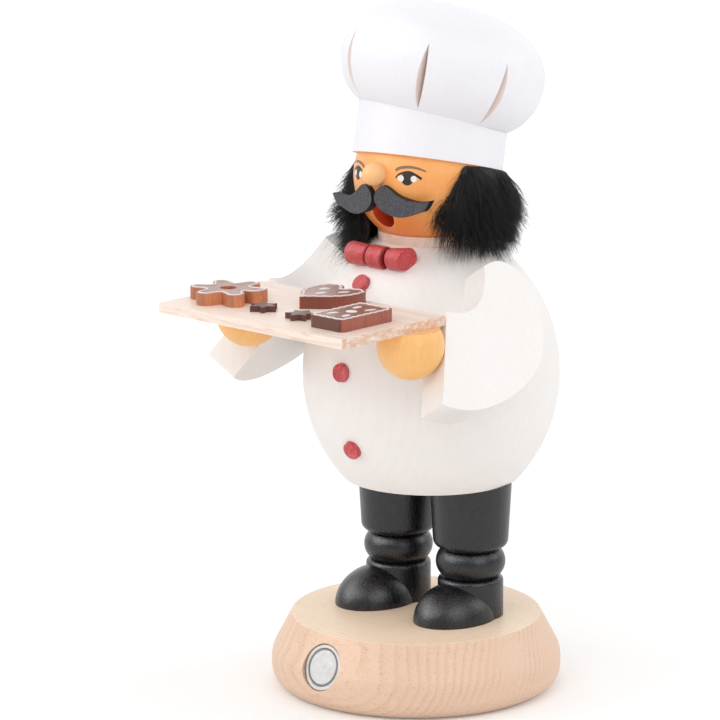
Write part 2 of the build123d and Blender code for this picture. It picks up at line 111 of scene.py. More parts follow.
class SmokerFinishes(PropertyGroup):
    base_wood: colour("Base wood", "Pale wood of the base between its growth rings", (0.82, 0.58, 0.425))
    # Painted light: the flat top is coloured paler than the flank, standing in for the light and sheen it
    # gets
    base_top_painted_light: colour("Base top", "Paler sanded wood of the base's flat top", (1.0, 0.80, 0.60))
    base_ring: colour("Base rings", "Late wood of the base's growth rings and flecks", (0.60, 0.34, 0.21))
    board_wood: colour("Board wood", "Pale wood of the board", (0.95, 0.81, 0.72))
    board_end: colour("Board ends", "Darker end grain of the board's short edges", (0.74, 0.47, 0.33))
    board_ring: colour("Board rings", "Late wood of the board's growth rings", (0.74, 0.50, 0.34))
    bare_wood: colour("Bare wood", "Turned wood of the neck ring, plug and dowels", (0.95, 0.75, 0.63))
    coat_white: colour("Coat white", "Warm white paint of the body and sleeves", (0.91, 0.875, 0.86))
    hat_white: colour("Hat white", "Cool white paint of the hat", (0.90, 0.89, 0.93))
    slit_shade: colour("Slit shade", "Warm white in the slits of the hat", (0.93, 0.84, 0.80))
    skin: colour("Skin stain", "Orange stain of the head", (1.0, 0.435, 0.118))
    # Also used as painted shade that darkens the head towards the chin
    skin_deep_and_chin_shade: colour("Skin shade", "Deeper stain towards the chin and the hair", (0.94, 0.28, 0.054))
    pale_skin: colour("Pale stain", "Paler stain of the hands", (0.98, 0.55, 0.20))
    nose: colour("Nose stain", "Paler stain of the nose", (0.96, 0.55, 0.27))
    mouth: colour("Mouth", "Red stain inside the mouth", (0.80, 0.11, 0.04))
    eye_black: colour("Eye black", "Black of the irises and lids", (0.014, 0.013, 0.013))
    eye_worn: colour("Worn eye black", "Paler black where the brush ran dry", (0.06, 0.05, 0.045))
    eye_white: colour("Eye white", "White of the spots beside the irises", (0.95, 0.89, 0.88))
    eye_shade: colour("Eye shade", "Duller white in those spots", (0.80, 0.72, 0.68))
    brow: colour("Brow", "Brown of the brows", (0.20, 0.125, 0.075))
    brow_pale: colour("Pale brow", "Paler brown where the brush ran dry", (0.36, 0.20, 0.10))
    red: colour("Red stain", "Red stain of the bow and buttons", (0.56, 0.020, 0.013))
    red_rubbed: colour("Rubbed red", "Paler red where the end grain shows", (0.74, 0.29, 0.34))
    black: colour("Black stain", "Black stain of the legs and boots", (0.0048, 0.0055, 0.0085))
    black_worn: colour("Worn black", "Wood that shows through the black", (0.034, 0.031, 0.032))
    moustache: colour("Moustache face", "Slate grey of the moustache's sawn face", (0.088, 0.090, 0.108))
    fur: colour("Fur", "Black of the hair", (0.0035, 0.0035, 0.0038))
    flower: colour("Flower", "Light brown side of the flower biscuit", (0.50, 0.175, 0.075))
    heart: colour("Heart", "Brown side of the heart biscuit", (0.21, 0.045, 0.020))
    slab: colour("Slab", "Red-brown side of the slab biscuit", (0.29, 0.068, 0.035))
    star: colour("Stars", "Dark brown of the small star biscuits", (0.11, 0.034, 0.025))
    glaze: colour("Glaze", "Red-brown glaze on top of the biscuits", (0.29, 0.092, 0.053))
    icing: colour("Icing", "White of the piped icing", (0.88, 0.83, 0.81))
    plate: colour("Plate", "Metal of the round plate", (0.46, 0.455, 0.45))
    plate_dull: colour("Dull plate", "Tarnish and groove of the round plate", (0.16, 0.155, 0.15))
    tin: colour("Tin", "Metal of the dish and its nail", (0.72, 0.70, 0.64))
    tin_dull: colour("Dull tin", "Clouds in that metal", (0.46, 0.43, 0.38))
    charcoal: colour("Charcoal", "Pressed charcoal of the incense cone", (0.05, 0.035, 0.028))
    charcoal_pale: colour("Pale charcoal", "Paler specks in the charcoal", (0.13, 0.10, 0.08))


class SmokerFace(PropertyGroup):
    eye_azimuth: angle("Eye azimuth", "How far each eye's middle stands round from the nose", 26.7)
    left_eye_rise: length("Left eye rise", "Height of the left eye's middle over the chin", 17.1 * MM)
    right_eye_rise: length("Right eye rise", "Height of the right eye's middle over the chin", 16.4 * MM)
    iris_radius: length("Iris radius", "Radius of the black iris", 1.7 * MM)
    white_radius: length("White radius", "Radius of each white spot beside the iris", 0.87 * MM)
    white_offset: length("White offset", "How far each white spot stands from the iris's middle", 1.82 * MM)


class SmokerFur(PropertyGroup):
    layers: whole_number("Layers", "Layers of hair that share the same skin", 4)
    strands: whole_number("Strands", "Strands of hair in each layer", 6200)
    strand_length: length("Strand length", "Length of a full strand", 7.8 * MM)
    strand_radius: length("Strand radius", "Radius of a strand at its root", 0.07 * MM)
    wisps: whole_number("Wisps", "Long loose strands", 1000)
    wisp_length: length("Wisp length", "Length of a full wisp", 12.5 * MM)
    wisp_radius: length("Wisp radius", "Radius of a wisp at its root", 0.045 * MM)
    thickness: plain_number("Thickness", "Share of its thickness that the skin keeps", 0.70)
    taper: plain_number("Taper", "How much of that share goes under the hat", 0.85)
    lift: plain_number("Lift", "Share of its height that the skin loses at its foot", 0.14)
    left_lift: plain_number("Left lift", "Share of its height that its left end loses as well", 0.17)
    right_lift: plain_number("Right lift", "Share of its height that its right end loses as well", -0.08)
    left_part: plain_number("Left part", "Share of its reach that its left end loses at its foot", 0.16)
    right_part: plain_number("Right part", "Share of its reach that its right end loses at its foot", -0.05)
    temple: plain_number("Temple", "Share of its reach round the head that it gains under the hat", 0.07)
    clump: length("Clump", "Width of the clumps that the strands' tips draw into", 2.4 * MM)
    seed: IntProperty(name="Seed", description="Seed of everything random in the hair", default=7)


class SmokerIcing(PropertyGroup):
    bead_radius: length("Bead radius", "Half the width of a piped line", 0.24 * MM)
    line_inset: length("Line inset", "How far the piped line lies inside the biscuit's rim", 0.75 * MM)
    wave_height: length("Wave height", "Half the width of the line's waves", 0.22 * MM)


class SmokerStage(PropertyGroup):
    camera_azimuth: angle("Camera azimuth", "How far the camera stands round from the front", 42.53)
    camera_distance: length("Camera distance", "Level distance of the camera from the figure's axis", 1.16046)
    camera_height: length("Camera height", "Height of the camera over the floor", 0.35572)
    camera_aim: length("Camera aim", "Height of the point on the axis that the camera looks at", 0.095)
    lens: FloatProperty(
        name="Lens", description="Focal length of the camera", subtype="DISTANCE_CAMERA", default=217.777
    )
    shift: FloatVectorProperty(
        name="Shift", description="Framing shift of the camera", size=2, default=(-0.0781, -0.01922)
    )
    left_lamp: power("Left lamp", "Power of the soft lamp at the picture's left", 1.4)
    front_lamp: power("Front lamp", "Power of the soft lamp in front", 1.5)
    right_lamp: power("Right lamp", "Power of the soft lamp at the picture's right", 2.0)
    room_light: plain_number("Room light", "Level of the even light from all round", 0.90)
    mirrored_room: plain_number("Mirrored room", "Level of the room's front in shiny surfaces", 0.35)
    left_window: plain_number("Left window", "Level of the wide left window in shiny surfaces", 2.8)
    right_window: plain_number("Right window", "Level of the small right window in shiny surfaces", 2.2)


# Node helpers
class Tree:
    """Short words for adding and joining nodes in one node tree."""

    def __init__(self, tree):
        self.tree = tree

    def feed(self, socket, value):
        """Joins an input to a socket, or sets it to a value."""
        if isinstance(value, bpy.types.NodeSocket):
            self.tree.links.new(value, socket)
        else:
            socket.default_value = value

    def add(self, kind, inputs=None, **settings):
        """A new node with its settings and inputs; an input is named, or numbered where names repeat."""
        node = self.tree.nodes.new(kind)
        for name, value in settings.items():
            setattr(node, name, value)
        for name, value in (inputs or {}).items():
            self.feed(node.inputs[name], value)
        return node

    def made(self, kind, inputs=None, **settings):
        """The first output of a new node."""
        return self.add(kind, inputs, **settings).outputs[0]

    def math(self, operation, first, second=0.0):
        return self.made("ShaderNodeMath", {0: first, 1: second}, operation=operation)

    def times(self, first, second):
        return self.math("MULTIPLY", first, second)

    def plus(self, first, second):
        return self.math("ADD", first, second)

    def vector(self, operation, first, second=(0.0, 0.0, 0.0)):
        return self.made("ShaderNodeVectorMath", {0: first, 1: second}, operation=operation)

    def scaled(self, vector, factor):
        return self.made("ShaderNodeVectorMath", {0: vector, "Scale": factor}, operation="SCALE")

    def dot(self, first, second):
        inputs = {0: first, 1: second}
        return self.add("ShaderNodeVectorMath", inputs, operation="DOT_PRODUCT").outputs["Value"]

    def size(self, vector):
        return self.add("ShaderNodeVectorMath", {0: vector}, operation="LENGTH").outputs["Value"]

    def parts(self, vector):
        """The X, Y and Z of a vector."""
        return self.add("ShaderNodeSeparateXYZ", {0: vector}).outputs

    def step(self, value, low, high):
        """A mask that climbs smoothly from 0 at low to 1 at high, or falls where low is the larger."""
        inputs = {"Value": value, "From Min": low, "From Max": high}
        return self.made("ShaderNodeMapRange", inputs, interpolation_type="SMOOTHSTEP")

    def mix(self, factor, first, second):
        """A colour between two others."""
        node = self.add("ShaderNodeMix", data_type="RGBA")
        self.feed(node.inputs[0], factor)
        self.feed(node.inputs[6], opaque(first))
        self.feed(node.inputs[7], opaque(second))
        return node.outputs[2]

    def noise(self, vector, scale, detail=2.0, roughness=0.5):
        inputs = {"Vector": vector, "Scale": scale, "Detail": detail, "Roughness": roughness}
        return self.made("ShaderNodeTexNoise", inputs)

    def streaks(self, vector, density, detail=2.0, roughness=0.5):
        """Noise with its own density along each axis."""
        return self.noise(self.vector("MULTIPLY", vector, density), 1.0, detail, roughness)

    def wander(self, vector, scale, detail, reach):
        """A vector that drifts smoothly both ways from place to place."""
        drift = self.add("ShaderNodeTexNoise", {"Vector": vector, "Scale": scale, "Detail": detail})
        return self.scaled(self.vector("SUBTRACT", drift.outputs["Color"], (0.5, 0.5, 0.5)), reach)

    def attribute(self, name):
        """A vector that the points carry under a name."""
        return self.made("GeometryNodeInputNamedAttribute", {"Name": name}, data_type="FLOAT_VECTOR")


def opaque(value):
    """A colour with its alpha, or a socket as it is."""
    if isinstance(value, bpy.types.NodeSocket) or len(value) == 4:
        return value
    return (*value, 1.0)


def toned(tone, *shares):
    """A colour times one share, or times a share each for red, green and blue."""
    if len(shares) == 1:
        shares = shares * 3
    return tuple(value * share for value, share in zip(tone, shares))


def add_sockets(group, in_out, kind, names):
    for name in names:
        group.interface.new_socket(name=name, in_out=in_out, socket_type=kind)


def opened(group):
    """The inside of a node group as a Tree, with what it is given and what it puts out."""
    tree = Tree(group)
    return tree, tree.add("NodeGroupInput").outputs, tree.add("NodeGroupOutput").inputs


def new_group(name, inputs, outputs):
    """A shader node group that takes a vector and numbers, and puts out numbers."""
    group = bpy.data.node_groups.new(name, "ShaderNodeTree")
    add_sockets(group, "INPUT", "NodeSocketVector", ("Vector",))
    add_sockets(group, "INPUT", "NodeSocketFloat", inputs)
    add_sockets(group, "OUTPUT", "NodeSocketFloat", outputs)
    return opened(group)


def wood_figure_group():
    """Growth rings round a pith along X, fine fibre along X, and short ray flecks."""
    name = "Wood figure"
    if name in bpy.data.node_groups:
        return bpy.data.node_groups[name]
    tree, given, result = new_group(name, ("Ring spacing", "Waviness"), ("Rings", "Fibre", "Flecks"))
    place = given["Vector"]
    across = tree.vector("MULTIPLY", place, (0.0, 1.0, 1.0))
    slow = tree.streaks(place, (12.0, 45.0, 45.0))
    warp = tree.times(tree.math("SUBTRACT", slow, 0.5), given["Waviness"])
    distance = tree.plus(tree.size(across), warp)
    turn = tree.math("FRACT", tree.math("DIVIDE", distance, given["Ring spacing"]))
    late = tree.times(tree.step(turn, 0.35, 0.9), tree.step(turn, 1.0, 0.9))
    fading = tree.step(tree.streaks(place, (25.0, 70.0, 70.0), 1.0), 0.3, 0.65)
    fibre = tree.streaks(place, (110.0, 2200.0, 2200.0), 3.0, 0.6)
    dashes = tree.streaks(place, (360.0, 2500.0, 2500.0), 1.0)
    tree.feed(result["Rings"], tree.times(late, fading))
    tree.feed(result["Fibre"], fibre)
    tree.feed(result["Flecks"], tree.step(dashes, 0.61, 0.70))
    return tree.tree


def brushed_coat_group():
    """Paint or stain on turned wood: slow mottling, grain along Z and small specks."""
    name = "Brushed coat"
    if name in bpy.data.node_groups:
        return bpy.data.node_groups[name]
    tree, given, result = new_group(name, (), ("Mottle", "Grain", "Specks"))
    place = given["Vector"]
    mottle = tree.noise(place, 110.0, 4.0, 0.6)
    grain = tree.streaks(place, (1500.0, 1500.0, 150.0), 2.0, 0.6)
    specks = tree.noise(place, 2600.0, 1.0)
    tree.feed(result["Mottle"], tree.step(mottle, 0.3, 0.7))
    tree.feed(result["Grain"], tree.step(grain, 0.25, 0.75))
    tree.feed(result["Specks"], tree.step(specks, 0.55, 0.75))
    return tree.tree


# Materials
COAT_ROUGHNESS = 0.3
FINE_RELIEF = 0.02 * MM


class Finish:
    """A new material with its Tree, its main shader and the place on the piece."""

    def __init__(self, name, roughness=0.5, coat=0.0, gloss=0.5):
        self.material = bpy.data.materials.new(name)
        self.material.use_nodes = True
        self.material.node_tree.nodes.clear()
        self.tree = Tree(self.material.node_tree)
        self.shader = self.tree.add("ShaderNodeBsdfPrincipled", {"Roughness": roughness, "Coat Weight": coat})
        self.shader.inputs["Coat Roughness"].default_value = COAT_ROUGHNESS
        self.shader.inputs["Specular IOR Level"].default_value = gloss
        self.tree.add("ShaderNodeOutputMaterial", {"Surface": self.shader.outputs[0]})
        self.place = self.tree.add("ShaderNodeTexCoord").outputs["Object"]

    def set(self, name, value):
        self.tree.feed(self.shader.inputs[name], opaque(value) if name == "Base Color" else value)

    def grouped(self, group, **inputs):
        """The outputs of a shared node group placed in this material."""
        node = self.tree.add("ShaderNodeGroup", node_tree=group)
        for name, value in inputs.items():
            self.tree.feed(node.inputs[name.replace("_", " ")], value)
        return node.outputs

    def moved(self, centre, turn=(0.0, 0.0, 0.0)):
        """The place on the piece from another centre, turned."""
        away = self.tree.vector("SUBTRACT", self.place, centre)
        return self.tree.made("ShaderNodeMapping", {"Vector": away, "Rotation": turn})

    def facing(self, direction):
        """How far the surface faces a direction, from -1 to 1."""
        return self.tree.dot(self.tree.add("ShaderNodeNewGeometry").outputs["Normal"], direction)

    def uneven(self, marks, roughness, spread):
        """A roughness that varies with marks, by half the spread to each side."""
        self.set("Roughness", self.tree.plus(self.tree.times(marks, spread), roughness - spread / 2))

    def bump(self, height, distance):
        inputs = {"Height": height, "Distance": distance, "Strength": 1.0}
        self.set("Normal", self.tree.made("ShaderNodeBump", inputs))


def coated(name, main, deep, shares, roughness, coat=0.0, relief=FINE_RELIEF, gloss=0.5):
    """Painted or stained wood. Its deep colour shows by a share each in its mottling, grain and specks."""
    finish = Finish(name, roughness, coat, gloss)
    tree = finish.tree
    marks = finish.grouped(brushed_coat_group(), Vector=finish.place)
    mottling, graining, specks = shares
    amount = tree.times(marks["Mottle"], mottling)
    amount = tree.plus(amount, tree.times(marks["Grain"], graining))
    amount = tree.plus(amount, tree.times(marks["Specks"], specks))
    finish.colour = tree.mix(amount, main, deep)
    finish.set("Base Color", finish.colour)
    finish.uneven(marks["Grain"], roughness, 0.12)
    if relief:
        finish.bump(tree.plus(marks["Grain"], marks["Specks"]), relief)
    return finish


def wooden(name, pith, spacing, waviness, contrast, flecking, roughness=0.5, coat=0.0):
    """Clear wood with its fibre along X and its growth rings round a pith, and its late wood as a mask."""
    finish = Finish(name, roughness, coat)
    tree = finish.tree
    place = finish.moved(pith)
    marks = finish.grouped(wood_figure_group(), Vector=place, Ring_spacing=spacing, Waviness=waviness)
    fine = tree.times(tree.step(marks["Fibre"], 0.3, 0.75), 0.16)
    flecks = tree.times(marks["Flecks"], flecking)
    finish.late_wood = tree.plus(tree.times(marks["Rings"], contrast), tree.plus(fine, flecks))
    finish.uneven(marks["Fibre"], roughness, 0.2)
    finish.bump(tree.math("SUBTRACT", marks["Fibre"], marks["Flecks"]), FINE_RELIEF)
    return finish


def dress(material, *nodes):
    """Gives a finish to pieces of the frame."""
    for node in nodes:
        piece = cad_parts[node]
        if not piece.material_slots:
            piece.data.materials.append(None)
        for slot in piece.material_slots:
            slot.material = material


# Objects and meshes
def linked(name, data):
    """A new object in the scene."""
    thing = bpy.data.objects.new(name, data)
    bpy.context.scene.collection.objects.link(thing)
    return thing


def add_piece(name, mesh, body, material_slot, *materials):
    """Links a finished mesh as a piece that rides on a body."""
    piece = linked(name, mesh)
    for material in materials:
        mesh.materials.append(material)
    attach(piece, body)
    return piece


def plain_mesh(name, maker):
    """The plain mesh that an object's modifiers make. The object itself goes."""
    graph = bpy.context.evaluated_depsgraph_get()
    mesh = bpy.data.meshes.new_from_object(maker.evaluated_get(graph), depsgraph=graph)
    bpy.data.objects.remove(maker)
    mesh.name = name
    return mesh


def grown(name, seed_mesh, tree, inputs):
    """The plain mesh that a geometry node tree makes from a seed mesh."""
    seed = linked(name + "_seed", seed_mesh)
    modifier = seed.modifiers.new("grow", "NODES")
    modifier.node_group = tree
    for item in tree.interface.items_tree:
        if item.in_out == "INPUT" and item.name in inputs:
            modifier[item.identifier] = inputs[item.name]
    return plain_mesh(name, seed)


def new_geometry_tree(name, floats=(), vectors=(), integers=()):
    """A geometry node tree with a mesh going in and out, a material and other named inputs."""
    group = bpy.data.node_groups.new(name, "GeometryNodeTree")
    add_sockets(group, "INPUT", "NodeSocketGeometry", ("Mesh",))
    add_sockets(group, "INPUT", "NodeSocketFloat", floats)
    add_sockets(group, "INPUT", "NodeSocketVector", vectors)
    add_sockets(group, "INPUT", "NodeSocketInt", integers)
    add_sockets(group, "INPUT", "NodeSocketMaterial", ("Material",))
    add_sockets(group, "OUTPUT", "NodeSocketGeometry", ("Mesh",))
    return opened(group)


def ended(tree, mesh, given, result):
    """The geometry node tree, closed with a smooth and real mesh in its material."""
    mesh = tree.made("GeometryNodeSetShadeSmooth", {"Geometry": mesh})
    mesh = tree.made("GeometryNodeRealizeInstances", {"Geometry": mesh})
    mesh = tree.made("GeometryNodeSetMaterial", {"Geometry": mesh, "Material": given["Material"]})
    tree.feed(result["Mesh"], mesh)
    return tree.tree


# Painted face
def in_millimetres(*points):
    return [tuple(value * MM for value in point) for point in points]


# Each stroke's points beside the eye's middle: across, up and width
LID_LINE = in_millimetres(
    (-3.35, 0.15, 0.3),
    (-2.28, 1.2, 0.5),
    (-0.21, 1.7, 0.85),
    (1.17, 1.53, 0.85),
    (2.84, 0.82, 0.66),
    (3.93, 0.1, 0.72),
)
BROW_LINE = in_millimetres(
    (-3.55, 2.05, 0.74), (-2.30, 2.78, 0.78), (0.30, 3.14, 0.72), (2.80, 2.86, 0.6), (5.13, 2.1, 0.4)
)

# How far the white spots lie over the level of the iris's middle
WHITE_RISE = 0.05 * MM

# How far each paint stands out from the wood, so that it covers what lies under it
IRIS_PROUD = 0.03 * MM
LID_PROUD = 0.045 * MM
WHITE_PROUD = 0.06 * MM
BROW_PROUD = 0.03 * MM


def head_radius_at(rise):
    away = rise - head_widest_rise
    return head_radius - head_arc_radius + sqrt(head_arc_radius**2 - away**2)


def on_head(azimuth, rise, proud):
    """A point just over the head's surface, by how far round from the nose and how high it lies."""
    radius = head_radius_at(rise) + proud
    return Vector((radius * sin(azimuth), head_axis_y - radius * cos(azimuth), chin_height + rise))


class FacePaint:
    """Strokes and spots of paint that lie on the head beside one eye's middle."""

    def __init__(self, side, azimuth, rise):
        self.mesh = bmesh.new()
        self.side = side
        self.azimuth = azimuth
        self.rise = rise

    def vertex(self, across, up, proud):
        azimuth = self.side * (self.azimuth + across / head_radius)
        return self.mesh.verts.new(on_head(azimuth, self.rise + up, proud))

    def face(self, corners, slot):
        ring = corners if self.side > 0 else corners[::-1]
        self.mesh.faces.new(ring).material_index = slot

    def spot(self, across, up, radius, proud, slot, rings=4, spokes=40):
        """A round spot, as rings about its middle."""
        middle = self.vertex(across, up, proud)
        inner = None
        for ring in range(1, rings + 1):
            reach = radius * ring / rings
            outer = [
                self.vertex(across + reach * cos(tau * n / spokes), up + reach * sin(tau * n / spokes), proud)
                for n in range(spokes)
            ]
            for n in range(spokes):
                after = (n + 1) % spokes
                if inner is None:
                    self.face([middle, outer[n], outer[after]], slot)
                else:
                    self.face([inner[n], outer[n], outer[after], inner[after]], slot)
            inner = outer

    def stroke(self, line, proud, slot, steps=10):
        """A brush stroke through points, each with its place across and up and its width."""
        samples = smooth_line(line, steps)
        rows = []
        for number, (across, up, width) in enumerate(samples):
            before = samples[max(number - 1, 0)]
            after = samples[min(number + 1, len(samples) - 1)]
            along = Vector((after[0] - before[0], after[1] - before[1])).normalized()
            square = Vector((-along.y, along.x)) * width / 2
            edges = (-square, 0.0 * square, square)
            rows.append([self.vertex(across + edge.x, up + edge.y, proud) for edge in edges])
        for low, high in zip(rows, rows[1:]):
            for n in range(2):
                self.face([low[n], high[n], high[n + 1], low[n + 1]], slot)

    def finished(self, name):
        mesh = bpy.data.meshes.new(name)
        self.mesh.to_mesh(mesh)
        self.mesh.free()
        mesh.shade_smooth()
        return mesh


def smooth_line(points, steps):
    """Points along a smooth line through the given ones, with every value of a point blended alike."""
    line = []
    for number in range(len(points) - 1):
        first = points[max(number - 1, 0)]
        start, end = points[number], points[number + 1]
        last = points[min(number + 2, len(points) - 1)]
        for step in range(steps):
            t = step / steps
            line.append(tuple(blended(*values, t) for values in zip(first, start, end, last)))
    line.append(tuple(points[-1]))
    return line


def blended(a, b, c, d, t):
    """A value at a share of the way from b to c, smooth through a, b, c and d."""
    bend = (2 * a - 5 * b + 4 * c - d) * t * t
    twist = (3 * b - a - 3 * c + d) * t * t * t
    return 0.5 * (2 * b + (c - a) * t + bend + twist)


# Biscuit tops
RIM_POINTS = 240
PIPED_POINTS = 360
BEAD_SIDES = 8
DROP_SEGMENTS = 20
DROP_RINGS = 10
DROP_HEIGHT = 0.22 * MM


def top_rim(node):
    """The longest rim of a biscuit's flat top, as points in order."""
    mesh = bmesh.new()
    mesh.from_mesh(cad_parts[node].data)
    bmesh.ops.remove_doubles(mesh, verts=mesh.verts, dist=MERGE)
    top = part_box(node)[1].z
    flat = {face for face in mesh.faces if all(vertex.co.z > top - MERGE for vertex in face.verts)}
    neighbours = {}
    for edge in mesh.edges:
        if sum(face in flat for face in edge.link_faces) == 1:
            first, second = edge.verts
            neighbours.setdefault(first, []).append(second)
            neighbours.setdefault(second, []).append(first)
    rims = []
    while neighbours:
        rim = []
        vertex = next(iter(neighbours))
        while vertex is not None:
            rim.append(vertex.co.copy())
            beside = neighbours.pop(vertex)
            vertex = next((other for other in beside if other in neighbours), None)
        rims.append(rim)
    mesh.free()
    return max(rims, key=closed_length)


def closed_length(rim):
    return sum((rim[n] - rim[n - 1]).length for n in range(len(rim)))


def evenly_spaced(rim, count):
    """The same closed line with points at equal steps."""
    step = closed_length(rim) / count
    points = []
    travelled = 0.0
    due = 0.0
    for n in range(len(rim)):
        start, end = rim[n], rim[(n + 1) % len(rim)]
        span = (end - start).length
        while due < travelled + span and len(points) < count:
            points.append(start.lerp(end, (due - travelled) / span))
            due += step
        travelled += span
    return points


def inset_line(rim, distance):
    """A closed line that lies inside a rim by a distance."""
    points = evenly_spaced(rim, RIM_POINTS)
    area = sum(a.x * b.y - b.x * a.y for a, b in zip(points, points[1:] + points[:1]))
    inward = 1.0 if area > 0 else -1.0
    line = []
    for n, point in enumerate(points):
        along = (points[(n + 1) % RIM_POINTS] - points[n - 1]).normalized()
        line.append(point + Vector((-along.y, along.x, 0.0)) * inward * distance)
    return line


def line_mesh(name, points):
    mesh = bpy.data.meshes.new(name)
    edges = [(n, (n + 1) % len(points)) for n in range(len(points))]
    mesh.from_pydata([tuple(point) for point in points], edges, [])
    return mesh


def icing_line_tree():
    """A piped bead that follows a closed line in waves."""
    tree, given, result = new_geometry_tree(
        "Icing line", floats=("Bead radius", "Wave height"), integers=("Waves",)
    )
    line = tree.made("GeometryNodeMeshToCurve", {"Mesh": given["Mesh"]})
    line = tree.made("GeometryNodeResampleCurve", {"Curve": line, "Count": PIPED_POINTS})
    factor = tree.add("GeometryNodeSplineParameter").outputs["Factor"]
    turns = tree.times(tree.times(factor, given["Waves"]), tau)
    swing = tree.times(tree.math("SINE", turns), given["Wave height"])
    square = tree.vector("CROSS_PRODUCT", tree.made("GeometryNodeInputTangent"), UP)
    line = tree.made("GeometryNodeSetPosition", {"Geometry": line, "Offset": tree.scaled(square, swing)})
    bead = tree.made(
        "GeometryNodeCurvePrimitiveCircle", {"Resolution": BEAD_SIDES, "Radius": given["Bead radius"]}
    )
    piped = tree.made("GeometryNodeCurveToMesh", {"Curve": line, "Profile Curve": bead})
    return ended(tree, piped, given, result)


def icing_drop_tree():
    """Flat drops of icing, each with its own size and turn from the point that it lies on."""
    tree, given, result = new_geometry_tree("Icing drops")
    drop = tree.made(
        "GeometryNodeMeshUVSphere", {"Segments": DROP_SEGMENTS, "Rings": DROP_RINGS, "Radius": 1.0}
    )
    size = tree.attribute("drop_size")
    turn = tree.made("FunctionNodeEulerToRotation", {"Euler": tree.attribute("drop_turn")})
    drops = tree.made(
        "GeometryNodeInstanceOnPoints",
        {"Points": given["Mesh"], "Instance": drop, "Rotation": turn, "Scale": size},
    )
    return ended(tree, drops, given, result)


def drop_mesh(name, node, drops):
    """The points that a biscuit's drops lie on: place, length, width and turn of each."""
    low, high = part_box(node)
    middle = (low + high) / 2
    mesh = bpy.data.meshes.new(name)
    mesh.from_pydata([(middle.x + x * MM, middle.y + y * MM, high.z) for x, y, *_ in drops], [], [])
    sizes = mesh.attributes.new("drop_size", "FLOAT_VECTOR", "POINT")
    turns = mesh.attributes.new("drop_turn", "FLOAT_VECTOR", "POINT")
    for n, (_, _, long, wide, turn) in enumerate(drops):
        sizes.data[n].vector = (long * MM / 2, wide * MM / 2, DROP_HEIGHT)
        turns.data[n].vector = (0.0, 0.0, radians(turn))
    return mesh


# Hair
SKIN_VOXEL = 1.1 * MM
SKIN_SMOOTHING = 8
STRAND_POINTS = 6
STRAND_SIDES = 3
STRAND_TAPER = 0.85
STRAND_DROOP = 1.2 * MM
SHORTEST_STRAND = 0.6
STRAND_CURL = 3.2 * MM
WISP_CURL = 7.0 * MM

# Heights over the chin where the hair lies flattest and where it stands out in full
FLAT_RISE = 19.0 * MM
FULL_RISE = 5.0 * MM

# How far it still stands out where it lies flattest
FLAT_STAND = 0.25

# The way that hair falls, how far single strands stray from it, and how far their tips draw together
HAIR_FALL = (0.0, -0.12, -0.8)
STRAY = 0.35
CLUMPING = 0.8


def within_one(value):
    return min(max(value, 0.0), 1.0)


def hair_skin(fur):
    """The skin that the hair grows from: the fur strip, thinner and shaped at its foot and its two ends."""
    source = linked("hair_source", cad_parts["wig"].data.copy())
    remesh = source.modifiers.new("even", "REMESH")
    remesh.mode = "VOXEL"
    remesh.voxel_size = SKIN_VOXEL
    smooth = source.modifiers.new("smooth", "SMOOTH")
    smooth.iterations = SKIN_SMOOTHING
    mesh = plain_mesh("hair_skin", source)
    rim = max(vertex.co.z for vertex in mesh.vertices)
    foot = min(vertex.co.z for vertex in mesh.vertices)
    for vertex in mesh.vertices:
        away = Vector((vertex.co.x, vertex.co.y - head_axis_y))
        height = within_one((vertex.co.z - foot) / (rim - foot))
        head = head_radius_at(max(vertex.co.z - chin_height, 0.0))
        radius = head + (away.length - head) * fur.thickness * (1.0 - fur.taper * height)
        part = fur.left_part if away.x > 0 else fur.right_part
        from_back = atan2(away.x, away.y) * (1.0 + fur.temple * height - part * (1.0 - height) ** 2)
        vertex.co.x = radius * sin(from_back)
        vertex.co.y = head_axis_y + radius * cos(from_back)
        in_front = within_one(abs(from_back) - 1.0)
        end_lift = fur.left_lift if away.x > 0 else fur.right_lift
        vertex.co.z += (fur.lift + end_lift * in_front) * (rim - vertex.co.z)
    mesh.shade_smooth()
    return mesh


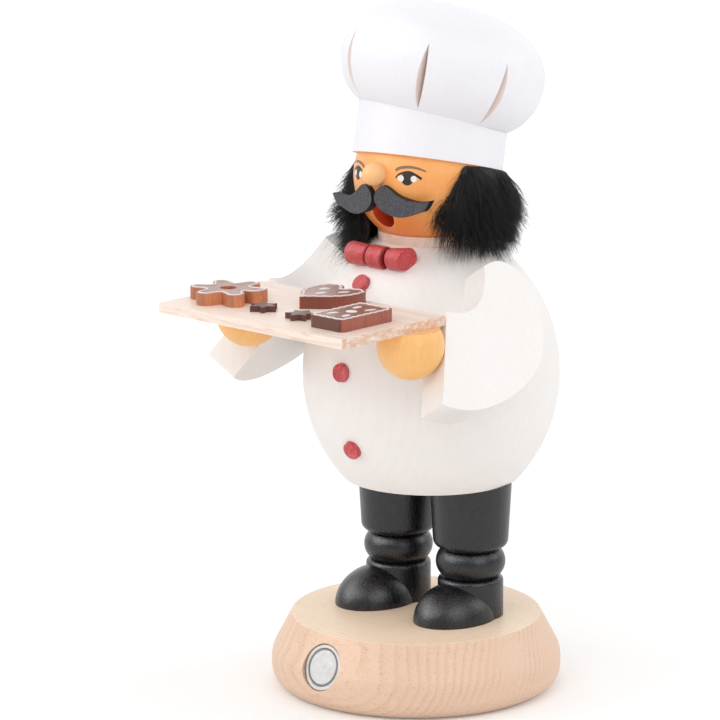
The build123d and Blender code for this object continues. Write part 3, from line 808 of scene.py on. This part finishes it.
def hair_tree():
    """Tapered strands that stand out of a skin, fall and curl."""
    tree, given, result = new_geometry_tree(
        "Hair",
        floats=("Density", "Strand length", "Strand radius", "Curl", "Clump", "Flat height", "Full height"),
        vectors=("Axis",),
        integers=("Seed",),
    )
    seed = given["Seed"]
    place = tree.made("GeometryNodeInputPosition")
    normal = tree.made("GeometryNodeInputNormal")
    away = tree.vector("MULTIPLY", tree.vector("SUBTRACT", place, given["Axis"]), (1.0, 1.0, 0.0))
    outward = tree.vector("NORMALIZE", away)
    facing_out = tree.math("GREATER_THAN", tree.dot(normal, outward), -0.15)
    spread = tree.add(
        "GeometryNodeDistributePointsOnFaces",
        {"Mesh": given["Mesh"], "Selection": facing_out, "Density": given["Density"], "Seed": seed},
    ).outputs
    clump = given["Clump"]
    jitter = tree.wander(place, 500.0, 1.0, tree.times(clump, 2.0))
    cell = tree.made("ShaderNodeCombineXYZ", {"X": clump, "Y": clump, "Z": clump})
    gathered = tree.vector("SNAP", tree.vector("ADD", place, jitter), cell)
    gathered = tree.vector("ADD", gathered, tree.scaled(cell, 0.5))
    to_clump = tree.vector("SUBTRACT", gathered, place)
    rooted = tree.made(
        "GeometryNodeStoreNamedAttribute",
        {"Geometry": spread["Points"], "Name": "to_clump", "Value": to_clump},
        data_type="FLOAT_VECTOR",
        domain="POINT",
    )
    swirl = tree.wander(place, 190.0, 2.0, 1.5)
    stray = tree.made(
        "FunctionNodeRandomValue",
        {0: (-STRAY, -STRAY, -STRAY), 1: (STRAY, STRAY, STRAY), "Seed": seed},
        data_type="FLOAT_VECTOR",
    )
    full = tree.step(tree.parts(place)["Z"], given["Flat height"], given["Full height"])
    stand = tree.plus(tree.times(full, 1.0 - FLAT_STAND), FLAT_STAND)
    lie = tree.vector("ADD", tree.scaled(spread["Normal"], 0.5), tree.scaled(outward, 0.3))
    lie = tree.vector("ADD", tree.scaled(lie, stand), HAIR_FALL)
    lie = tree.vector("ADD", lie, tree.vector("ADD", swirl, stray))
    lie = tree.vector("NORMALIZE", lie)
    turn = tree.made("FunctionNodeAlignRotationToVector", {"Vector": lie}, axis="Z")
    reach = tree.add("FunctionNodeRandomValue", {2: SHORTEST_STRAND, 3: 1.0, "Seed": seed}, data_type="FLOAT")
    span = tree.times(reach.outputs[1], given["Strand length"])
    line = tree.made("GeometryNodeCurvePrimitiveLine", {"Start": (0.0, 0.0, 0.0), "End": UP})
    line = tree.made("GeometryNodeResampleCurve", {"Curve": line, "Count": STRAND_POINTS})
    strands = tree.made(
        "GeometryNodeInstanceOnPoints",
        {"Points": rooted, "Instance": line, "Rotation": turn, "Scale": span},
    )
    strands = tree.made("GeometryNodeRealizeInstances", {"Geometry": strands})
    factor = tree.add("GeometryNodeSplineParameter").outputs["Factor"]
    bent = tree.times(factor, factor)
    curl = tree.wander(place, 340.0, 1.0, given["Curl"])
    fall = tree.vector("ADD", curl, tree.scaled(tree.attribute("to_clump"), CLUMPING))
    fall = tree.vector("ADD", fall, (0.0, 0.0, -STRAND_DROOP))
    strands = tree.made("GeometryNodeSetPosition", {"Geometry": strands, "Offset": tree.scaled(fall, bent)})
    taper = tree.math("SUBTRACT", 1.0, tree.times(factor, STRAND_TAPER))
    profile = tree.made(
        "GeometryNodeCurvePrimitiveCircle", {"Resolution": STRAND_SIDES, "Radius": given["Strand radius"]}
    )
    hair = tree.made("GeometryNodeCurveToMesh", {"Curve": strands, "Profile Curve": profile, "Scale": taper})
    return ended(tree, hair, given, result)


# Stage
FLOOR_HALF_WIDTH = 6.0
FLOOR_CELLS = 8
FLOOR_PALE = (0.9, 0.9, 0.9)
FLOOR_CLOUD = (0.86, 0.86, 0.86)
WHITE = (1.0, 1.0, 1.0, 1.0)
LAMP_SIZE = 0.5
LAMP_DISTANCE = 1.2
LAMP_AIM = Vector((0.0, 0.0, 0.1))
MIRRORED_BACK = 1.2
SENSOR_WIDTH = 36.0

# Each lamp's azimuth from the front and its elevation, in degrees
LAMPS = {"left_lamp": (-40.0, 26.0), "front_lamp": (15.0, 38.0), "right_lamp": (140.0, 24.0)}

# Each window's azimuth and elevation in degrees, and the cosines from its middle where it starts and is full
WINDOWS = {"left_window": (-40.0, 44.0, 0.77, 0.90), "right_window": (78.0, 36.0, 0.88, 0.97)}


def bearing(azimuth, elevation):
    """The direction from the object to something at an azimuth and elevation in degrees."""
    level = cos(radians(elevation))
    return Vector((sin(radians(azimuth)) * level, -cos(radians(azimuth)) * level, sin(radians(elevation))))


class SMOKER_OT_stage(Operator):
    """Sets the floor, the even room light, three soft lamps and the camera"""

    bl_idname = "smoker.stage"
    bl_label = "Set the stage"

    def execute(self, context):
        stage = context.scene.smoker_stage
        context.scene.view_settings.view_transform = "Standard"
        self.lay_floor()
        self.light_room(context, stage)
        for name, (azimuth, elevation) in LAMPS.items():
            self.hang_lamp(name, bearing(azimuth, elevation), getattr(stage, name))
        self.place_camera(context, stage)
        return {"FINISHED"}

    def lay_floor(self):
        """The floor glows a little to the camera alone, and more far out, where it meets the white room."""
        mesh = bpy.data.meshes.new("floor")
        shape = bmesh.new()
        bmesh.ops.create_grid(shape, x_segments=FLOOR_CELLS, y_segments=FLOOR_CELLS, size=FLOOR_HALF_WIDTH)
        shape.to_mesh(mesh)
        shape.free()
        floor = linked("floor", mesh)
        finish = Finish("Pale floor", 0.9)
        tree = finish.tree
        cloud = tree.times(tree.noise(finish.place, 2.0), 0.05)
        finish.set("Base Color", tree.mix(cloud, FLOOR_PALE, FLOOR_CLOUD))
        finish.set("Emission Color", WHITE)
        far = tree.step(tree.size(finish.place), 0.15, 1.6)
        glow = tree.plus(tree.times(far, 0.5), 0.12)
        seen = tree.add("ShaderNodeLightPath").outputs["Is Camera Ray"]
        finish.set("Emission Strength", tree.times(seen, glow))
        mesh.materials.append(finish.material)

    def light_room(self, context, stage):
        """The room is even, but shiny surfaces see it dim in front and bright behind, with two windows."""
        world = bpy.data.worlds.new("Studio")
        context.scene.world = world
        world.use_nodes = True
        world.node_tree.nodes.clear()
        tree = Tree(world.node_tree)
        rays = tree.add("ShaderNodeLightPath").outputs
        seen = tree.math("MAXIMUM", rays["Is Camera Ray"], rays["Is Transmission Ray"])
        level = tree.plus(tree.times(seen, 1.0 - stage.room_light), stage.room_light)
        towards = tree.add("ShaderNodeTexCoord").outputs["Generated"]
        backward = (-sin(stage.camera_azimuth), cos(stage.camera_azimuth), 0.0)
        behind = tree.step(tree.dot(towards, backward), 0.2, 0.8)
        mirrored = tree.plus(tree.times(behind, MIRRORED_BACK - stage.mirrored_room), stage.mirrored_room)
        for name, (azimuth, elevation, start, full) in WINDOWS.items():
            window = tree.step(tree.dot(towards, tuple(bearing(azimuth, elevation))), start, full)
            mirrored = tree.plus(mirrored, tree.times(window, getattr(stage, name)))
        change = tree.math("SUBTRACT", mirrored, stage.room_light)
        level = tree.plus(level, tree.times(rays["Is Glossy Ray"], change))
        light = tree.made("ShaderNodeBackground", {"Color": WHITE, "Strength": level})
        tree.add("ShaderNodeOutputWorld", {"Surface": light})

    def hang_lamp(self, name, towards, watts):
        lamp = bpy.data.lights.new(name, "AREA")
        lamp.shape = "SQUARE"
        lamp.size = LAMP_SIZE
        lamp.energy = watts
        holder = linked(name, lamp)
        holder.location = LAMP_AIM + towards * LAMP_DISTANCE
        holder.rotation_euler = (-towards).to_track_quat("-Z", "Y").to_euler()

    def place_camera(self, context, stage):
        lens = bpy.data.cameras.new("camera")
        lens.sensor_width = SENSOR_WIDTH
        lens.lens = stage.lens
        lens.shift_x, lens.shift_y = stage.shift
        lens.clip_start = 0.05
        lens.clip_end = 30.0
        camera = linked("camera", lens)
        camera.location = (
            stage.camera_distance * sin(stage.camera_azimuth),
            -stage.camera_distance * cos(stage.camera_azimuth),
            stage.camera_height,
        )
        sight = Vector((0.0, 0.0, stage.camera_aim)) - camera.location
        camera.rotation_euler = sight.to_track_quat("-Z", "Y").to_euler()
        context.scene.camera = camera


# Operators for the pieces
class SMOKER_OT_clear_wood(Operator):
    """Gives the base, board, neck ring, plug and dowels their clear wood"""

    bl_idname = "smoker.clear_wood"
    bl_label = "Clear wood"

    def execute(self, context):
        tone = context.scene.smoker_finishes
        self.finish_base(tone)
        self.finish_board(tone)
        bare = wooden(
            "Bare turned wood",
            pith=(0.0, 0.09, 0.1),
            spacing=1.6 * MM,
            waviness=3.0 * MM,
            contrast=0.25,
            flecking=0.2,
            roughness=0.6,
        )
        bare.set("Base Color", bare.tree.mix(bare.late_wood, tone.bare_wood, tone.base_ring))
        dress(bare.material, "neck_ring", "waist_plug", "hat_dowel", "left_arm_dowel", "right_arm_dowel")
        return {"FINISHED"}

    def finish_base(self, tone):
        """Figured sides, and a flat top with a paler colour and less figure, which is painted light."""
        base = wooden(
            "Beech base",
            pith=(0.0, 0.075, -0.03),
            spacing=1.9 * MM,
            waviness=5.0 * MM,
            contrast=0.26,
            flecking=0.42,
            coat=0.2,
        )
        tree = base.tree
        # Painted light: faces turned up get the paler top colour and less ring figure
        painted_top_light = tree.step(base.facing(UP), 0.5, 0.99)
        pale = tree.mix(painted_top_light, tone.base_wood, tone.base_top_painted_light)
        figure_left_under_top_light = tree.math("SUBTRACT", 1.0, tree.times(painted_top_light, 0.45))
        figured = tree.times(base.late_wood, figure_left_under_top_light)
        base.set("Base Color", tree.mix(figured, pale, tone.base_ring))
        dress(base.material, "base")

    def finish_board(self, tone):
        """Pale wood with streaks along its long edges and blotches of end grain on its short ones."""
        board = wooden(
            "Sawn board",
            pith=(0.0, -0.02, 0.075),
            spacing=1.5 * MM,
            waviness=6.0 * MM,
            contrast=0.35,
            flecking=0.3,
            coat=0.3,
        )
        tree = board.tree
        on_end = tree.step(tree.math("ABSOLUTE", board.facing((1.0, 0.0, 0.0))), 0.6, 0.9)
        blotches = tree.streaks(board.place, (1.0, 420.0, 700.0), 3.0, 0.6)
        end_grain = tree.mix(tree.step(blotches, 0.3, 0.6), tone.board_wood, tone.board_end)
        on_edge = tree.step(tree.math("ABSOLUTE", board.facing((0.0, 1.0, 0.0))), 0.6, 0.9)
        streaks = tree.streaks(board.place, (90.0, 1.0, 520.0), 3.0, 0.6)
        streaks = tree.times(tree.step(streaks, 0.5, 0.7), 0.55)
        pale = tree.mix(tree.times(on_edge, streaks), tone.board_wood, tone.board_end)
        pale = tree.mix(on_end, pale, end_grain)
        board.set("Base Color", tree.mix(board.late_wood, pale, tone.board_ring))
        dress(board.material, "board")


class SMOKER_OT_white_paint(Operator):
    """Paints the coat and the hat white"""

    bl_idname = "smoker.white_paint"
    bl_label = "White paint"

    brushing = {"shares": (0.3, 0.25, 0.1), "roughness": 0.5}

    def execute(self, context):
        tone = context.scene.smoker_finishes
        self.paint_coat(tone)
        cool = toned(tone.hat_white, 0.95)
        band = coated("Hat paint", tone.hat_white, cool, **self.brushing, coat=0.2)
        dress(band.material, "hat_band")
        self.paint_crown(tone, cool)
        return {"FINISHED"}

    def paint_coat(self, tone):
        """White paint with the wood's upright growth rings faint under it."""
        warm = toned(tone.coat_white, 0.96, 0.94, 0.90)
        coat = coated("Coat paint", tone.coat_white, warm, **self.brushing, coat=0.45)
        upright = coat.moved((0.035, 0.055, 0.0), (0.0, radians(90.0), 0.0))
        marks = coat.grouped(wood_figure_group(), Vector=upright, Ring_spacing=2.4 * MM, Waviness=6.0 * MM)
        ghost = coat.tree.times(marks["Rings"], 0.4)
        coat.set("Base Color", coat.tree.mix(ghost, coat.colour, warm))
        dress(coat.material, "body", "left_arm", "right_arm")

    def paint_crown(self, tone, cool):
        """The band's white, and a warmer white on the slits' walls, which don't face out from the axis."""
        crown = coated("Crown paint", tone.hat_white, cool, **self.brushing, coat=0.2)
        tree = crown.tree
        low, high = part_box("hat_crown")
        middle = (low + high) / 2
        away = tree.vector("SUBTRACT", crown.place, (middle.x, middle.y, 0.0))
        round_axis = tree.vector("NORMALIZE", tree.vector("CROSS_PRODUCT", away, UP))
        normal = tree.add("ShaderNodeNewGeometry").outputs["True Normal"]
        sideways = tree.math("ABSOLUTE", tree.dot(normal, round_axis))
        crown.set("Base Color", tree.mix(tree.step(sideways, 0.25, 0.45), crown.colour, tone.slit_shade))
        dress(crown.material, "hat_crown")


class SMOKER_OT_skin_stain(Operator):
    """Stains the head, nose and hands, and the inside of the mouth"""

    bl_idname = "smoker.skin_stain"
    bl_label = "Skin stain"

    def execute(self, context):
        tone = context.scene.smoker_finishes
        self.stain_head(tone)
        deep = toned(tone.pale_skin, 0.92, 0.8, 0.6)
        hands = coated(
            "Pale skin stain", tone.pale_skin, deep, shares=(0.4, 0.35, 0.1), roughness=0.45, coat=0.3
        )
        dress(hands.material, "left_hand", "right_hand")
        nose = coated(
            "Nose stain", tone.nose, tone.pale_skin, shares=(0.5, 0.5, 0.1), roughness=0.45, coat=0.25
        )
        dress(nose.material, "nose")
        return {"FINISHED"}

    def stain_head(self, tone):
        """Painted shade deepening the chin and painted light paling the brow, a red mouth and a pale rim
        round it.
        """
        skin = coated(
            "Skin stain", tone.skin, tone.skin_deep_and_chin_shade, shares=(0.22, 0.2, 0.08), roughness=0.42, coat=0.3
        )
        tree = skin.tree
        parts = tree.parts(skin.place)
        # Painted shade darker towards the chin, and painted light paler at the brow
        painted_chin_shade = tree.step(parts["Z"], chin_height + 13.0 * MM, chin_height - 1.0 * MM)
        painted_brow_light = tree.step(parts["Z"], chin_height + 15.5 * MM, chin_height + 21.0 * MM)
        shaded = tree.mix(tree.times(painted_chin_shade, 0.75), skin.colour, tone.skin_deep_and_chin_shade)
        lit = tree.mix(tree.times(painted_brow_light, 0.25), shaded, tone.pale_skin)
        from_mouth = tree.vector("SUBTRACT", skin.place, (0.0, 0.0, mouth_height))
        from_axis = tree.size(tree.vector("MULTIPLY", from_mouth, (1.0, 0.0, 1.0)))
        in_front = tree.math("LESS_THAN", parts["Y"], 0.0)
        bored = tree.step(from_axis, mouth_radius + 0.12 * MM, mouth_radius + 0.03 * MM)
        rim = tree.step(from_axis, mouth_radius + 0.42 * MM, mouth_radius + 0.3 * MM)
        lit = tree.mix(tree.times(rim, tree.times(in_front, 0.6)), lit, tone.nose)
        skin.set("Base Color", tree.mix(tree.times(bored, in_front), lit, tone.mouth))
        dress(skin.material, "head")


class SMOKER_OT_dark_stain(Operator):
    """Stains the legs, boots, moustache, bow and buttons"""

    bl_idname = "smoker.dark_stain"
    bl_label = "Black, grey and red stain"

    red_relief = 0.09 * MM

    def execute(self, context):
        tone = context.scene.smoker_finishes
        self.stain_legs(tone)
        self.stain_moustache(tone)
        self.stain_buttons(tone)
        self.stain_bow(tone)
        return {"FINISHED"}

    def stain_legs(self, tone):
        """Black stain with a leathery surface and worn scuffs."""
        legs = coated(
            "Black stain", tone.black, tone.black_worn,
            shares=(0.05, 0.06, 0.1), roughness=0.28, relief=0.0, gloss=0.65,
        )
        tree = legs.tree
        legs.bump(self.leathery(legs), 0.11 * MM)
        scuffs = tree.streaks(legs.place, (90.0, 90.0, 420.0), 4.0, 0.65)
        worn = tree.times(tree.step(scuffs, 0.66, 0.80), 0.5)
        legs.set("Base Color", tree.mix(worn, legs.colour, tone.black_worn))
        dress(legs.material, "left_leg", "right_leg", "left_boot_toe", "right_boot_toe")

    def stain_moustache(self, tone):
        """A speckled grey front, and black on the other sides."""
        grey = coated(
            "Moustache stain", tone.moustache, tone.black, shares=(0.1, 0.2, 0.6), roughness=0.5, relief=0.0
        )
        tree = grey.tree
        grey.bump(self.leathery(grey), 0.3 * MM)
        face = tree.step(grey.facing(FORWARD), 0.6, 0.9)
        speckle = tree.step(tree.noise(grey.place, 1900.0, 2.0, 0.6), 0.3, 0.75)
        sawn = tree.mix(tree.times(speckle, 0.55), grey.colour, tone.black)
        grey.set("Base Color", tree.mix(face, tone.black, sawn))
        dress(grey.material, "left_moustache", "right_moustache")

    def leathery(self, finish):
        return finish.tree.noise(finish.place, 1700.0, 3.0, 0.65)

    def stain_buttons(self, tone):
        buttons = coated(
            "Red stain", tone.red, tone.red_rubbed,
            shares=(0.3, 0.3, 0.5), roughness=0.5, relief=self.red_relief, gloss=0.3,
        )
        dress(buttons.material, "top_button", "middle_button", "bottom_button")

    def stain_bow(self, tone):
        """The buttons' red, with painted shade in the two creases beside the knot."""
        bow = coated(
            "Bow stain", tone.red, tone.red_rubbed,
            shares=(0.15, 0.2, 0.6), roughness=0.4, relief=self.red_relief, gloss=0.45,
        )
        tree = bow.tree
        low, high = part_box("bow_knot")
        across = tree.parts(bow.place)["X"]
        from_middle = tree.math("ABSOLUTE", tree.math("SUBTRACT", across, (low.x + high.x) / 2))
        from_crease = tree.math("ABSOLUTE", tree.math("SUBTRACT", from_middle, (high.x - low.x) / 2))
        # Painted shade: the red darkens in the two creases beside the knot
        painted_crease_shade = tree.step(from_crease, 0.9 * MM, 0.1 * MM)
        bow.set("Base Color", tree.mix(painted_crease_shade, bow.colour, toned(tone.red, 0.45)))
        dress(bow.material, "bow_left", "bow_knot", "bow_right")


class SMOKER_OT_metal(Operator):
    """Gives the plate, the dish and its nail their metal, and the cone its charcoal"""

    bl_idname = "smoker.metal"
    bl_label = "Metal and incense"

    def execute(self, context):
        tone = context.scene.smoker_finishes
        dress(self.antique_plate(tone), "badge_plate")
        dress(self.tinned_sheet(tone), "cone_dish", "dish_nail")
        charcoal = coated(
            "Pressed charcoal", tone.charcoal, tone.charcoal_pale, shares=(0.2, 0.1, 0.6), roughness=0.85
        )
        dress(charcoal.material, "incense_cone")
        return {"FINISHED"}

    def antique_plate(self, tone):
        """Brushed and tarnished metal with a raised rim and a dull groove inside it."""
        plate = Finish("Antique plate", 0.38)
        tree = plate.tree
        radius = tree.size(tree.vector("SUBTRACT", plate.place, badge_centre))
        rim = tree.step(radius, 5.15 * MM, 5.45 * MM)
        groove = tree.times(tree.step(radius, 4.6 * MM, 4.9 * MM), tree.step(radius, 5.4 * MM, 5.1 * MM))
        tarnish = tree.noise(plate.place, 700.0, 4.0, 0.6)
        brushed = tree.streaks(plate.place, (3000.0, 200.0, 200.0))
        dull = tree.plus(tree.times(tarnish, 0.5), tree.times(groove, 0.7))
        plate.set("Base Color", tree.mix(dull, tone.plate, tone.plate_dull))
        plate.set("Metallic", 1.0)
        plate.uneven(brushed, 0.38, 0.2)
        height = tree.math("SUBTRACT", tree.plus(rim, tree.times(tarnish, 0.15)), groove)
        plate.bump(height, 0.15 * MM)
        return plate.material

    def tinned_sheet(self, tone):
        sheet = Finish("Tinned sheet", 0.35)
        tree = sheet.tree
        clouds = tree.noise(sheet.place, 260.0, 4.0, 0.6)
        sheet.set("Base Color", tree.mix(clouds, tone.tin, tone.tin_dull))
        sheet.set("Metallic", 1.0)
        sheet.uneven(clouds, 0.375, 0.25)
        sheet.bump(clouds, 0.05 * MM)
        return sheet.material


class SMOKER_OT_face(Operator):
    """Paints the eyes and brows on the head"""

    bl_idname = "smoker.face"
    bl_label = "Painted face"

    def execute(self, context):
        tone = context.scene.smoker_finishes
        face = context.scene.smoker_face
        black = coated(
            "Eye black", tone.eye_black, tone.eye_worn, shares=(0.2, 0.2, 0.4), roughness=0.45
        ).material
        white = coated(
            "Eye white", tone.eye_white, tone.eye_shade, shares=(0.4, 0.3, 0.2), roughness=0.45
        ).material
        brown = coated(
            "Brow brown", tone.brow, tone.brow_pale, shares=(0.4, 0.3, 0.4), roughness=0.5
        ).material
        for name, side, rise in (("left", 1, face.left_eye_rise), ("right", -1, face.right_eye_rise)):
            eye = FacePaint(side, face.eye_azimuth, rise)
            eye.spot(0.0, 0.0, face.iris_radius, IRIS_PROUD, 0)
            eye.stroke(LID_LINE, LID_PROUD, 0)
            for across in (-face.white_offset, face.white_offset):
                eye.spot(across, WHITE_RISE, face.white_radius, WHITE_PROUD, 1)
            add_piece(f"{name}_eye", eye.finished(f"{name}_eye"), "figure", "moustache_stain", black, white)
            brow = FacePaint(side, face.eye_azimuth, rise)
            brow.stroke(BROW_LINE, BROW_PROUD, 0)
            add_piece(f"{name}_brow", brow.finished(f"{name}_brow"), "figure", "moustache_stain", brown)
        return {"FINISHED"}


class SMOKER_OT_biscuits(Operator):
    """Bakes the gingerbread and pipes its icing"""

    bl_idname = "smoker.biscuits"
    bl_label = "Gingerbread and icing"

    # Each biscuit's side and top colour, share of crumbs, lacquer, and share of its colour left on its front,
    # as painted shade
    bakings = (
        ("flower_biscuit", "flower", "glaze", 0.5, 0.5, 0.9),
        ("heart_biscuit", "heart", "glaze", 0.35, 0.5, 0.9),
        ("slab_biscuit", "slab", "glaze", 0.2, 0.5, 0.4),
        ("left_star_biscuit", "star", "star", 0.15, 0.1, 0.9),
        ("right_star_biscuit", "star", "star", 0.15, 0.1, 0.9),
    )

    # Each drop's place across and along its biscuit, length, width and turn
    heart_drops = ((-3.4, 2.7, 3.0, 1.9, 60.0), (3.6, 2.9, 3.4, 1.4, 60.0), (-0.2, -2.0, 3.6, 1.4, 75.0))
    slab_drops = (
        (0.0, 0.0, 3.2, 3.0, 0.0),
        (-2.35, 4.6, 3.2, 1.5, 92.0),
        (2.55, -4.8, 3.0, 1.5, 88.0),
        (2.5, 4.5, 3.6, 1.1, 70.0),
        (-2.4, -4.6, 3.6, 1.1, 70.0),
    )

    # Each iced biscuit's waves in its piped line, and its drops
    icings = (("flower", 0, ()), ("heart", 20, heart_drops), ("slab", 24, slab_drops))

    def execute(self, context):
        tone = context.scene.smoker_finishes
        piping = context.scene.smoker_icing
        for node, side, top, crumbs, lacquer, front in self.bakings:
            colours = (getattr(tone, side), getattr(tone, top))
            dress(self.baked(f"Baked {node}", *colours, crumbs, lacquer, front), node)
        sugar = toned(tone.icing, 0.9)
        icing = coated(
            "Piped icing", tone.icing, sugar, shares=(0.3, 0.2, 0.3), roughness=0.4, coat=0.1
        ).material
        lines = icing_line_tree()
        drops = icing_drop_tree()
        for biscuit, waves, places in self.icings:
            node = f"{biscuit}_biscuit"
            seed = line_mesh(f"{biscuit}_line", inset_line(top_rim(node), piping.line_inset))
            inputs = {
                "Bead radius": piping.bead_radius,
                "Wave height": piping.wave_height,
                "Waves": waves,
                "Material": icing,
            }
            bead = grown(f"{biscuit}_icing_line", seed, lines, inputs)
            add_piece(f"{biscuit}_icing_line", bead, "figure", "gingerbread")
            if places:
                points = drop_mesh(f"{biscuit}_points", node, places)
                spots = grown(f"{biscuit}_icing_drops", points, drops, {"Material": icing})
                add_piece(f"{biscuit}_icing_drops", spots, "figure", "gingerbread")
        return {"FINISHED"}

    def baked(self, name, side, glaze, crumbs, lacquer, front):
        """Brown sides with paler grain and crumbs, a front darkened by painted shade, and a shiny glaze on
        the flat top.
        """
        crumb = tuple(min(1.0, value * 1.9 + 0.02) for value in side)
        finish = coated(
            name, side, crumb, shares=(0.25, 0.3, crumbs), roughness=0.5, coat=lacquer, relief=0.08 * MM
        )
        tree = finish.tree
        top = tree.step(finish.facing(UP), 0.75, 0.95)
        # Painted shade: the front face is darker than the other sides
        in_front = tree.step(finish.facing(FORWARD), 0.6, 0.9)
        sides = tree.mix(in_front, finish.colour, toned(side, front))
        finish.set("Base Color", tree.mix(top, sides, glaze))
        finish.set("Roughness", tree.math("SUBTRACT", 0.5, tree.times(top, 0.22)))
        return finish.material


class SMOKER_OT_hair(Operator):
    """Grows the black hair that stands for the fur strip"""

    bl_idname = "smoker.hair"
    bl_label = "Black hair"

    def execute(self, context):
        fur = context.scene.smoker_fur
        tone = context.scene.smoker_finishes
        shine = toned(tone.fur, 2.2)
        black = coated("Black hair", tone.fur, shine, shares=(0.3, 0.3, 0.2), roughness=0.42).material
        skin = hair_skin(fur)
        area = sum(face.area for face in skin.polygons)
        tree = hair_tree()
        growths = [
            (f"hair_layer_{n + 1}", fur.strands, fur.strand_length, fur.strand_radius, STRAND_CURL)
            for n in range(fur.layers)
        ]
        growths.append(("hair_wisps", fur.wisps, fur.wisp_length, fur.wisp_radius, WISP_CURL))
        for number, (name, count, reach, radius, curl) in enumerate(growths):
            inputs = {
                "Density": count / area,
                "Strand length": reach,
                "Strand radius": radius,
                "Curl": curl,
                "Clump": fur.clump,
                "Axis": (0.0, head_axis_y, 0.0),
                "Flat height": chin_height + FLAT_RISE,
                "Full height": chin_height + FULL_RISE,
                "Seed": fur.seed + number,
                "Material": black,
            }
            add_piece(name, grown(name, skin.copy(), tree, inputs), "figure", "fur")
        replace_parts(add_piece("hair_skin", skin, "figure", "fur", black), "wig")
        return {"FINISHED"}


class SMOKER_PT_panel(Panel):
    bl_idname = "SMOKER_PT_panel"
    bl_label = "Smoker"
    bl_space_type = "VIEW_3D"
    bl_region_type = "UI"
    bl_category = "Smoker"

    def draw(self, context):
        for operator in OPERATORS:
            self.layout.operator(operator.bl_idname)
        for name in SETTINGS:
            self.layout.label(text=name.replace("smoker_", "").title())
            settings = getattr(context.scene, name)
            for prop in settings.bl_rna.properties:
                if prop.identifier not in ("rna_type", "name"):
                    self.layout.prop(settings, prop.identifier)


SETTINGS = {
    "smoker_finishes": SmokerFinishes,
    "smoker_face": SmokerFace,
    "smoker_fur": SmokerFur,
    "smoker_icing": SmokerIcing,
    "smoker_stage": SmokerStage,
}
OPERATORS = (
    SMOKER_OT_stage,
    SMOKER_OT_clear_wood,
    SMOKER_OT_white_paint,
    SMOKER_OT_skin_stain,
    SMOKER_OT_dark_stain,
    SMOKER_OT_metal,
    SMOKER_OT_face,
    SMOKER_OT_biscuits,
    SMOKER_OT_hair,
)


def register():
    for kind in (*SETTINGS.values(), *OPERATORS, SMOKER_PT_panel):
        bpy.utils.register_class(kind)
    for name, kind in SETTINGS.items():
        setattr(bpy.types.Scene, name, PointerProperty(type=kind))


def unregister():
    for name in SETTINGS:
        delattr(bpy.types.Scene, name)
    for kind in reversed((*SETTINGS.values(), *OPERATORS, SMOKER_PT_panel)):
        bpy.utils.unregister_class(kind)


def main():
    register()
    bpy.ops.smoker.stage()
    bpy.ops.smoker.clear_wood()
    bpy.ops.smoker.white_paint()
    bpy.ops.smoker.skin_stain()
    bpy.ops.smoker.dark_stain()
    bpy.ops.smoker.metal()
    bpy.ops.smoker.face()
    bpy.ops.smoker.biscuits()
    bpy.ops.smoker.hair()
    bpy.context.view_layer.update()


if __name__ == "__main__":
    main()
